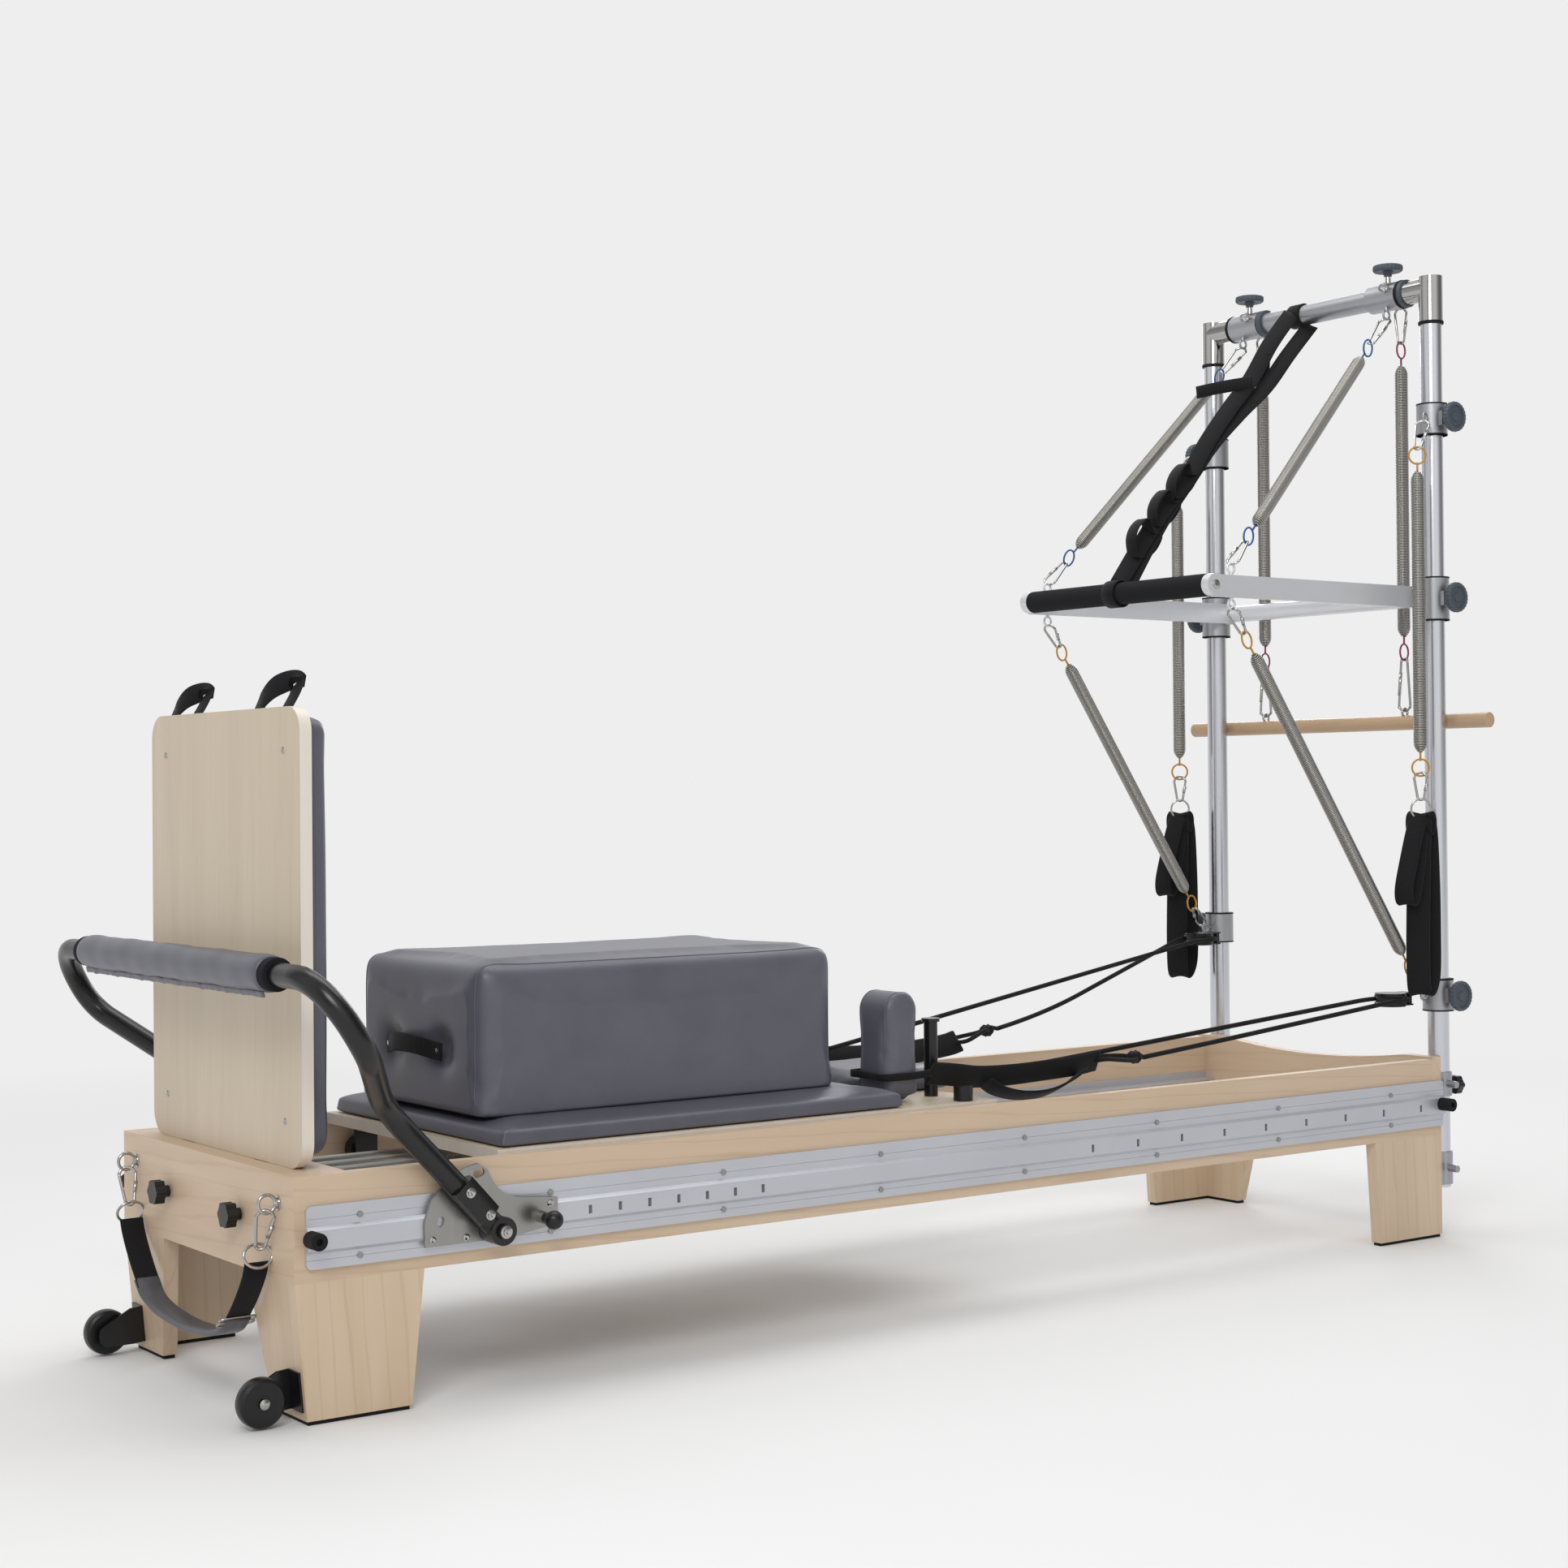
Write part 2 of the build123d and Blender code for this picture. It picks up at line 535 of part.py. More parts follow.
def main():
    os.makedirs("parts", exist_ok=True)
    save("frame_boards", frame_boards())
    save("legs", both(leg(True)) + both(leg(False)))
    save("rubber_feet", both(foot_pad(True)) + both(foot_pad(False)) + both(bumper(20)) + both(bumper(2427)))
    save("side_rails", both(side_rail()) + both(inner_track()))
    save("rail_screws", rail_screws())
    save("spring_bar", spring_bar())
    save("foot_fittings", foot_fittings())

    save("tower_frame", tower_frame())
    save("post_brackets", both(saddle(275, 322)) + both(saddle(101, 165)))
    save("crossbar_collars", both(crossbar_collar()))
    save("mid_collars", mid_collars())
    save("push_bar", [push_bar()])
    save("push_springs", push_springs())
    save("roll_down_bar", [roll_down()])
    save("roll_down_springs", both(spring((POST_X + 37.5, -190, 1853), (POST_X + 37.5, -190, 1048), (88, 140))))
    save("ladder_strap", [ladder_strap()])
    for name, sign in SIDES.items():
        outward = (-83.5, -32, 0)
        save(f"{name}_upper_collar", [side(post_collar(1614, 64, outward), sign)])
        save(f"{name}_upper_knob", [side(pull_knob(1614), sign)])
        save(f"{name}_mid_knob", [side(pull_knob(MID_Z - 4), sign)])
        save(f"{name}_lower_collar", [side(post_collar(LOWER_Z[name], 64, (-1, 0, 0)), sign)])
        save(f"{name}_lower_knob", [side(pull_knob(LOWER_Z[name]), sign)])
        save(f"{name}_crossbar_knob", [side(crossbar_knob(), sign)])
        save(f"{name}_tower_knob", [star_knob((POST_X + 25.3, sign * POST_Y, 292), (1, 0, 0), 14)])
        save(f"{name}_arm_spring", [side(piece, sign) for piece in arm_spring()])
        pulley_z = LOWER_Z[name] - 7 if name == "near" else LOWER_Z[name] - 20
        save(f"{name}_pulley", [pulley(sign, pulley_z)])
        save(f"{name}_sheave", [sheave(sign, pulley_z)])
        save(f"{name}_rope", rope(name))
        save(f"{name}_shoulder_rest", [side(shoulder_rest(), sign)])
        save(f"{name}_lock_pin", [side(lock_pin(), sign)])
        save(f"{name}_foot_knob", [star_knob((30, sign * 135, 276), (-1, 0, 0), 41)])

    save("carriage_deck", [block(*DECK)])
    save("carriage_pad", [carriage_pad()])
    save("carriage_fittings", carriage_fittings())
    save("front_rollers", rollers(ROLLER_X[0]))
    save("rear_rollers", rollers(ROLLER_X[1]))
    save("carriage_springs", carriage_springs())
    save("headrest", [soft_block((1141, 1370), (-121, 121), (355.4, 394), 22, 12)])
    save("deck_knob", [rod((1259, -270, 355.3), (1259, -270, 380), 16.5)])
    save("sitting_box", [soft_block((357, 1041), (-209, 209), (390.4, 627), 26, 24)])
    save("footbar_plates", both(footbar_plate()))
    save("footbar_tube", [footbar_tube()])
    save("footbar_sleeve", [footbar_sleeve()])
    save("jump_board", [jump_board()])
    save("jump_pad", [jump_pad()])
    save("transport_wheels", both(transport_wheel()))
    save("foot_sling", foot_sling())


main()
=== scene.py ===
import json
import math

import bpy
import numpy as np
from mathutils import Matrix, Vector
from mathutils.bvhtree import BVHTree

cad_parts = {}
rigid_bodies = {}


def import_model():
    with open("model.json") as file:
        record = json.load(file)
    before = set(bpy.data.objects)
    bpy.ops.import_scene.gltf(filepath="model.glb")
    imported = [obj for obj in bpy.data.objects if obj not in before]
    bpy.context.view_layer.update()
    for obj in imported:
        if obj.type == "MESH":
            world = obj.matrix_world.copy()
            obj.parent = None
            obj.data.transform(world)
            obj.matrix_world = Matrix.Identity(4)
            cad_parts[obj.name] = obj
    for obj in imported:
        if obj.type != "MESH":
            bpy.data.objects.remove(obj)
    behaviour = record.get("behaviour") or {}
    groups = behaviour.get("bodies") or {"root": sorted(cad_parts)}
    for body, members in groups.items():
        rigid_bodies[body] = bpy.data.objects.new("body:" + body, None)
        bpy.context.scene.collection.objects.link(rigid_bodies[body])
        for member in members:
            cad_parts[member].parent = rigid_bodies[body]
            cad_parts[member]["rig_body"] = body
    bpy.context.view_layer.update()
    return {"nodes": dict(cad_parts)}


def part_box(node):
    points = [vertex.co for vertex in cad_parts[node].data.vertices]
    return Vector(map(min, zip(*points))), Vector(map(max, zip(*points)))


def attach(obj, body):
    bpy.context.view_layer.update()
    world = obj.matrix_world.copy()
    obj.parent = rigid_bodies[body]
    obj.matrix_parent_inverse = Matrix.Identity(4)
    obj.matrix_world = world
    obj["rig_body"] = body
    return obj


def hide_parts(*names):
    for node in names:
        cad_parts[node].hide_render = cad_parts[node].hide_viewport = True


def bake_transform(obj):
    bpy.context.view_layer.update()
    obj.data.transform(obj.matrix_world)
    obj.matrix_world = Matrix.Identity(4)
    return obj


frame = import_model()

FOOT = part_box("frame_boards")[0][0]
NODES = frame["nodes"]
SIDES = {"near": -1, "far": 1}
LOWER_Z = {"near": 474, "far": 585}
POST_X = 2461.5
POST_Y = 298
TOP_Z = 1876
MID_Z = 1262
PUSH_X = 1887
BACKDROP = 0.855


def at(x, y, z):
    """Point in metres from millimetres measured from the foot end face, the middle and the floor."""
    return Vector((FOOT + x / 1000, y / 1000, z / 1000))


# ------------------------------------------------------------------ materials

def srgb(r, g, b):
    def linear(value):
        value /= 255
        return value / 12.92 if value <= 0.04045 else ((value + 0.055) / 1.055) ** 2.4
    return (linear(r), linear(g), linear(b), 1)


class Shader:
    """A Principled material with short calls for the nodes that feed it."""

    def __init__(self, name, **values):
        self.material = bpy.data.materials.new(name)
        self.material.use_nodes = True
        self.nodes = self.material.node_tree.nodes
        self.links = self.material.node_tree.links
        self.surface = self.nodes["Principled BSDF"]
        for key, value in values.items():
            self.surface.inputs[key.replace("_", " ")].default_value = value

    def add(self, kind, inputs=None, **settings):
        node = self.nodes.new("ShaderNode" + kind)
        for key, value in settings.items():
            setattr(node, key, value)
        for key, value in (inputs or {}).items():
            if isinstance(value, bpy.types.NodeSocket):
                self.links.new(value, node.inputs[key])
            else:
                node.inputs[key].default_value = value
        return node

    def place(self, scale=(1, 1, 1), turn=(0, 0, 0)):
        coordinates = self.add("TexCoord").outputs["Object"]
        return self.add("Mapping", {"Vector": coordinates, "Scale": scale, "Rotation": turn}).outputs[0]

    def noise(self, vector, scale, detail=4, rough=0.5, distortion=0.0):
        inputs = {"Vector": vector, "Scale": scale, "Detail": detail, "Roughness": rough,
                  "Distortion": distortion}
        return self.add("TexNoise", inputs).outputs["Fac"]

    def ramp(self, value, stops):
        node = self.add("ValToRGB", {"Fac": value})
        band = node.color_ramp
        for place, colour in stops[2:]:
            band.elements.new(place)
        for element, (place, colour) in zip(band.elements, stops):
            element.position = place
            element.color = colour
        return node.outputs["Color"]

    def mix(self, factor, a, b, blend="MIX"):
        node = self.add("Mix", data_type="RGBA", blend_type=blend)
        for socket, value in zip((node.inputs[0], node.inputs[6], node.inputs[7]), (factor, a, b)):
            if isinstance(value, bpy.types.NodeSocket):
                self.links.new(value, socket)
            else:
                socket.default_value = value
        return node.outputs[2]

    def span(self, value, low, high):
        inputs = {"Value": value, "To Min": low, "To Max": high}
        return self.add("MapRange", inputs).outputs["Result"]

    def bump(self, height, depth, strength=1.0):
        inputs = {"Height": height, "Distance": depth, "Strength": strength}
        self.links.new(self.add("Bump", inputs).outputs["Normal"], self.surface.inputs["Normal"])

    def feed(self, socket, value):
        self.links.new(value, self.surface.inputs[socket])


def wood(name, along, pale, mid, dark, fibre=(0.5, 0.5), rings=0.35):
    """Planed wood with growth lines and fine fibres along one axis."""
    shader = Shader(name, Roughness=0.42, Coat_Weight=0.15, Coat_Roughness=0.3)
    stretch = [14.0, 14.0, 14.0]
    stretch["XYZ".index(along)] = 0.9
    fine = [220.0, 220.0, 220.0]
    fine["XYZ".index(along)] = 5.0
    plank = shader.noise(shader.place(stretch), 1.0, 3, 0.55, 0.6)
    waves = shader.add("TexWave", {"Vector": shader.place(stretch), "Scale": 1.6, "Distortion": 7.0,
                                   "Detail": 3.0, "Detail Scale": 0.8}, bands_direction="DIAGONAL")
    lines = shader.ramp(waves.outputs["Fac"],
                        [(0.0, (1, 1, 1, 1)), (0.93, (1, 1, 1, 1)), (1.0, (0.80, 0.72, 0.66, 1))])
    tone = shader.ramp(plank, [(0.25, pale), (0.75, dark), (0.5, mid)])
    fibres = shader.noise(shader.place(fine), 1.0, 4, 0.6)
    grained = shader.mix(shader.span(fibres, *fibre), tone, dark)
    ringed = shader.mix(rings, grained, lines, "MULTIPLY")
    shader.feed("Base Color", ringed)
    shader.feed("Roughness", shader.span(fibres, 0.36, 0.52))
    shader.bump(fibres, 0.00008)
    return shader.material


def leather(name, colour, light):
    shader = Shader(name, Roughness=0.4, Specular_IOR_Level=0.5)
    place = shader.place()
    cells = shader.add("TexVoronoi", {"Vector": place, "Scale": 620.0},
                       feature="DISTANCE_TO_EDGE").outputs["Distance"]
    soft = shader.noise(place, 9.0, 5, 0.6)
    grain = shader.noise(place, 900.0, 3, 0.6)
    tone = shader.ramp(soft, [(0.3, colour), (0.72, light)])
    shader.feed("Base Color", shader.mix(shader.span(grain, 0.0, 0.22), tone, (0.02, 0.02, 0.025, 1)))
    shader.feed("Roughness", shader.span(soft, 0.30, 0.42))
    height = shader.add("Math", {0: shader.span(cells, 0.0, 1.0), 1: shader.span(grain, 0.0, 0.35)},
                        operation="ADD")
    shader.bump(height.outputs[0], 0.00022, 0.8)
    return shader.material


def metal(name, colour, rough, along=None, streak=0.06, bump=0.00003, metallic=1.0):
    """Metal with fine drawn lines along one axis, or an even satin when no axis is given."""
    shader = Shader(name, Metallic=metallic)
    scale = [260.0, 260.0, 260.0]
    if along:
        scale["XYZ".index(along)] = 3.0
    fine = shader.noise(shader.place(scale), 1.0, 4, 0.6)
    cloud = shader.noise(shader.place(), 7.0, 3, 0.5)
    darker = tuple(value * 0.86 for value in colour[:3]) + (1,)
    shader.feed("Base Color", shader.mix(cloud, colour, darker))
    shader.feed("Roughness", shader.span(fine, rough - streak, rough + streak))
    shader.bump(fine, bump)
    return shader.material


def plain(name, colour, rough, grain=900.0, depth=0.00006, **values):
    """Moulded plastic, rubber, foam or powder coat: even colour with fine surface texture and soft wear."""
    shader = Shader(name, **values)
    fine = shader.noise(shader.place(), grain, 3, 0.6)
    cloud = shader.noise(shader.place(), 11.0, 4, 0.55)
    lighter = tuple(min(1.0, value * 1.35 + 0.004) for value in colour[:3]) + (1,)
    shader.feed("Base Color", shader.mix(shader.span(cloud, 0.1, 0.7), colour, lighter))
    shader.feed("Roughness", shader.span(cloud, rough - 0.07, rough + 0.07))
    shader.bump(fine, depth)
    return shader.material


def woven(name, colour, light, pitch=900.0):
    """Webbing or cord: two crossed sets of threads."""
    shader = Shader(name, Roughness=0.8, Sheen_Weight=0.06, Sheen_Roughness=0.5, Specular_IOR_Level=0.25)
    place = shader.place()
    threads = []
    for direction in ("X", "Z"):
        wave = shader.add("TexWave", {"Vector": place, "Scale": pitch / 6.3, "Distortion": 0.6,
                                      "Detail": 1.0},
                          bands_direction=direction)
        threads.append(wave.outputs["Fac"])
    cross = shader.add("Math", {0: threads[0], 1: threads[1]}, operation="MULTIPLY").outputs[0]
    fuzz = shader.noise(place, 1500.0, 3, 0.6)
    tone = shader.mix(cross, colour, light)
    shader.feed("Base Color", shader.mix(shader.span(fuzz, 0.0, 0.3), tone, light))
    shader.bump(cross, 0.0003, 0.7)
    return shader.material


MAPLE = srgb(222, 202, 178), srgb(212, 190, 164), srgb(196, 170, 143)
MAPLE_X = wood("maple_long", "X", *MAPLE)
MAPLE_Z = wood("maple_upright", "Z", srgb(226, 208, 184), srgb(216, 196, 170), srgb(200, 176, 148))
MAPLE_Y = wood("maple_cross", "Y", *MAPLE)
LAMINATE = wood("laminate", "Z", srgb(212, 198, 176), srgb(204, 189, 167), srgb(192, 176, 153), (0.2, 0.6),
                0.1)
EDGE = wood("cream_edge", "Z", srgb(232, 224, 214), srgb(226, 217, 206), srgb(216, 206, 194), (0.1, 0.4),
            0.05)
DOWEL = wood("dowel", "Y", srgb(208, 182, 150), srgb(197, 168, 135), srgb(178, 148, 116), (0.3, 0.8), 0.2)
LEATHER = leather("slate_leather", srgb(88, 88, 99), srgb(98, 98, 110))
SUEDE = leather("slate_suede", srgb(80, 80, 86), srgb(92, 92, 98))
RAIL = metal("satin_rail", srgb(204, 206, 213), 0.42, "X", metallic=0.6)
TUBE = metal("satin_tube", srgb(214, 215, 221), 0.24, "Z", 0.03)
CHROME = metal("polished_steel", srgb(186, 184, 182), 0.12, None, 0.03, 0.00001)
COLLAR = metal("blasted_collar", srgb(178, 179, 183), 0.42)
BAR = metal("brushed_bar", srgb(228, 229, 233), 0.34, "X", metallic=0.5)
STAINLESS = metal("stainless_plate", srgb(160, 159, 155), 0.3, "Z", 0.08, 0.00006)
SPRING = metal("spring_wire", srgb(168, 165, 160), 0.3, None, 0.02, 0.000002)
BLACK_STEEL = plain("black_powder_coat", srgb(13, 13, 15), 0.25, 700.0, 0.00002, Specular_IOR_Level=0.45)
BLACK_PLASTIC = plain("black_plastic", srgb(15, 15, 17), 0.34, Specular_IOR_Level=0.4)
SLATE = plain("slate_plastic", srgb(62, 70, 79), 0.5)
RUBBER = plain("black_rubber", srgb(15, 15, 16), 0.7, 400.0, 0.0001, Specular_IOR_Level=0.25)
FOAM = plain("black_foam", srgb(22, 22, 25), 0.85, 500.0, 0.0003, Specular_IOR_Level=0.2)
WEBBING = woven("black_webbing", srgb(9, 9, 11), srgb(22, 22, 26))
ROPE = woven("black_cord", srgb(9, 9, 11), srgb(26, 26, 30), 1500.0)
RINGS = {"blue": plain("blue_ring", srgb(30, 78, 138), 0.4),
         "magenta": plain("magenta_ring", srgb(132, 36, 84), 0.4),
         "gold": plain("gold_ring", srgb(172, 126, 34), 0.4)}


# ------------------------------------------------------------------ mesh helpers

def mesh_object(name, points, faces, material, body=None, smooth=True):
    mesh = bpy.data.meshes.new(name)
    mesh.from_pydata([tuple(p) for p in points], [], faces)
    mesh.validate()
    mesh.materials.append(material)
    mesh.shade_smooth() if smooth else mesh.shade_flat()
    piece = bpy.data.objects.new(name, mesh)
    bpy.context.scene.collection.objects.link(piece)
    if body:
        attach(piece, body)
    return piece


def sweep(points, section, across=None, closed=False):
    """Vertices and faces of a section (u, v) carried along points. across fixes the section's u direction."""
    points = np.array([tuple(p) for p in points], float)
    count = len(points)
    if closed:
        tangents = np.roll(points, -1, 0) - np.roll(points, 1, 0)
    else:
        tangents = np.gradient(points, axis=0)
    tangents /= np.linalg.norm(tangents, axis=1)[:, None]
    section = np.array(section, float)
    if section.ndim == 2:
        section = np.repeat(section[None], count, 0)
    if across is None:
        guide = np.array([0.0, 0.0, 1.0]) if abs(tangents[0][2]) < 0.9 else np.array([1.0, 0.0, 0.0])
        us = [np.cross(tangents[0], guide)]
        for tangent in tangents[1:]:
            last = us[-1]
            us.append(last - tangent * (last @ tangent))
            us[-1] = us[-1] / np.linalg.norm(us[-1])
        us = np.array(us)
    else:
        us = np.array(across, float)
        us = np.repeat(us[None], count, 0) if us.ndim == 1 else us
        us = us - tangents * np.sum(us * tangents, 1)[:, None]
    us /= np.linalg.norm(us, axis=1)[:, None]
    vs = np.cross(tangents, us)
    rows = points[:, None] + us[:, None] * section[:, :, :1] + vs[:, None] * section[:, :, 1:]
    sides = section.shape[1]
    last = count if closed else count - 1
    faces = []
    for row in range(last):
        a, b = row * sides, ((row + 1) % count) * sides
        faces += [(a + k, a + (k + 1) % sides, b + (k + 1) % sides, b + k) for k in range(sides)]
    if not closed:
        faces.append(tuple(range(sides))[::-1])
        faces.append(tuple(range((count - 1) * sides, count * sides)))
    return rows.reshape(-1, 3), faces


def circle(radius, sides=12):
    turns = [2 * math.pi * k / sides for k in range(sides)]
    return [(radius * math.cos(t), radius * math.sin(t)) for t in turns]


def tube(name, points, radius, material, body=None, sides=12, closed=False):
    """Round wire or tube. radius may be a list, one value for each point."""
    if hasattr(radius, "__len__"):
        section = [circle(r, sides) for r in radius]
    else:
        section = circle(radius, sides)
    return mesh_object(name, *sweep(points, section, closed=closed), material, body)


def strap_section(width, thick):
    """Flat webbing section with rounded selvedges."""
    w, t = width / 2, thick / 2
    edge = min(t, w * 0.2)
    return [(-w, 0), (-w + edge, -t), (0, -t * 0.94), (w - edge, -t), (w, 0), (w - edge, t), (0, t * 0.94),
            (-w + edge, t)]


def strap(name, points, across, width, thick, material, body=None, closed=False):
    points = smooth_path(points, closed=closed)
    section = strap_section(width, thick)
    return mesh_object(name, *sweep(points, section, across, closed), material, body)


def smooth_path(points, steps=10, closed=False):
    """Catmull-Rom curve through the given points."""
    points = [Vector(p) for p in points]
    count = len(points)
    result = []
    for k in range(count if closed else count - 1):
        if closed:
            a, b, c, d = (points[(k + j) % count] for j in (-1, 0, 1, 2))
        else:
            b, c = points[k], points[k + 1]
            a = points[k - 1] if k else b * 2 - c
            d = points[k + 2] if k + 2 < count else c * 2 - b
        for step in range(steps):
            t = step / steps
            result.append(0.5 * ((2 * b) + (c - a) * t + (2 * a - 5 * b + 4 * c - d) * t ** 2
                                 + (3 * b - a - 3 * c + d) * t ** 3))
    if not closed:
        result.append(points[-1])
    return result


def lathe(name, profile, origin, axis, material, body=None, steps=64, flutes=0, depth=0.0):
    """Turned piece: (radius, height) pairs about an axis, with optional flutes round its rim."""
    axis = Vector(axis).normalized()
    side = axis.orthogonal().normalized()
    other = axis.cross(side)
    points, faces = [], []
    rim = max(r for r, h in profile)
    for r, h in profile:
        for k in range(steps):
            turn = 2 * math.pi * k / steps
            wave = depth * (r / rim) ** 6 * (0.5 + 0.5 * math.cos(flutes * turn)) if flutes else 0.0
            reach = max(r - wave, 0.0)
            points.append(Vector(origin) + axis * h
                          + side * reach * math.cos(turn) + other * reach * math.sin(turn))
    for row in range(len(profile) - 1):
        a, b = row * steps, (row + 1) * steps
        faces += [(a + k, a + (k + 1) % steps, b + (k + 1) % steps, b + k) for k in range(steps)]
    faces.append(tuple(range(steps))[::-1])
    faces.append(tuple(range((len(profile) - 1) * steps, len(profile) * steps)))
    piece = mesh_object(name, points, faces, material, body)
    crisp(piece)
    return piece


def crisp(piece, angle=35):
    """Smooth shading that keeps real edges sharp."""
    mesh = piece.data
    mesh.shade_smooth()
    mesh.set_sharp_from_angle(angle=math.radians(angle))


def bevel(piece, width, segments=2):
    """Small rounded edges; the mesh itself stays as it is."""
    worn = piece.modifiers.new("edge", "BEVEL")
    worn.width = width
    worn.segments = segments
    worn.limit_method = "ANGLE"
    worn.angle_limit = math.radians(40)
    worn.harden_normals = True
    worn.use_clamp_overlap = True


def ring(name, middle, normal, radius, wire, material, body=None, stretch=1.0):
    """Closed wire ring; stretch lengthens it along the direction nearest to upright."""
    normal = Vector(normal).normalized()
    up = Vector((0, 0, 1)) if abs(normal.z) < 0.9 else Vector((1, 0, 0))
    up = (up - normal * up.dot(normal)).normalized()
    side = normal.cross(up)
    turns = [2 * math.pi * k / 40 for k in range(40)]
    points = [Vector(middle) + side * radius * math.cos(t) + up * radius * stretch * math.sin(t)
              for t in turns]
    return tube(name, points, wire, material, body, 10, True)


def carabiner(name, top, low, facing, body, width=0.0125, wire=0.0026):
    """Pear-shaped snap hook between two points, with its gate sleeve."""
    top, low = Vector(top), Vector(low)
    way = (low - top).normalized()
    length = (low - top).length
    side = way.cross(Vector(facing)).normalized()
    wide, narrow = width, width * 0.55
    points = []
    for k in range(14):
        turn = math.pi * k / 13
        points.append(top + way * (wide - wide * math.sin(turn)) + side * wide * math.cos(turn))
    for k in range(12):
        turn = math.pi * k / 11
        points.append(low - way * (narrow - narrow * math.sin(turn)) - side * narrow * math.cos(turn))
    piece = tube(name, smooth_path(points, 3, True), wire, CHROME, body, 10, True)
    start = top + way * (wide + length * 0.18) + side * wide * 0.95
    finish = low - way * (narrow + length * 0.2) + side * (narrow + (wide - narrow) * 0.25)
    tube(name + "_gate", [start, start.lerp(finish, 0.5), finish], wire * 1.35, CHROME, body, 12)
    return piece


def coil(name, start, end, outer, wire, body=None, pitch=1.04):
    """Close-wound spring with coned ends."""
    start, end = Vector(start), Vector(end)
    way = (end - start).normalized()
    side = way.orthogonal().normalized()
    other = way.cross(side)
    length = (end - start).length
    turns = length / (2 * wire * pitch)
    count = int(turns * 12)
    cone = min(outer * 1.3, length * 0.1)
    points = []
    for k in range(count + 1):
        along = length * k / count
        edge = min(along, length - along) / cone
        reach = (outer - wire) * (1 - 0.68 * (1 - min(edge, 1.0)) ** 2)
        angle = 2 * math.pi * turns * k / count
        points.append(start + way * along + side * reach * math.cos(angle) + other * reach * math.sin(angle))
    return tube(name, points, wire, SPRING, body, 8)


# ------------------------------------------------------------------ camera, light, floor

def make_camera():
    yaw, pitch, roll = (math.radians(a) for a in (35.885, 0.559, -0.476))
    ahead = Vector((math.sin(yaw) * math.cos(pitch), math.cos(yaw) * math.cos(pitch), math.sin(pitch)))
    right = Vector((math.cos(yaw), -math.sin(yaw), 0))
    up = right.cross(ahead)
    tilted_right = right * math.cos(roll) + up * math.sin(roll)
    tilted_up = up * math.cos(roll) - right * math.sin(roll)
    data = bpy.data.cameras.new("camera")
    data.sensor_width = 36
    data.lens = 57.40
    data.shift_x = -0.0020
    data.shift_y = -0.0081
    data.clip_end = 50
    camera = bpy.data.objects.new("camera", data)
    rotation = Matrix((tilted_right, tilted_up, -ahead)).transposed().to_4x4()
    camera.matrix_world = Matrix.Translation(at(-1489.4, -3563.3, 878.5)) @ rotation
    bpy.context.scene.collection.objects.link(camera)
    bpy.context.scene.camera = camera


def area_light(name, place, target, size, power):
    data = bpy.data.lights.new(name, "AREA")
    data.shape = "RECTANGLE"
    data.size, data.size_y = size
    data.energy = power
    light = bpy.data.objects.new(name, data)
    light.location = place
    light.rotation_euler = (Vector(target) - Vector(place)).to_track_quat("-Z", "Y").to_euler()
    bpy.context.scene.collection.objects.link(light)


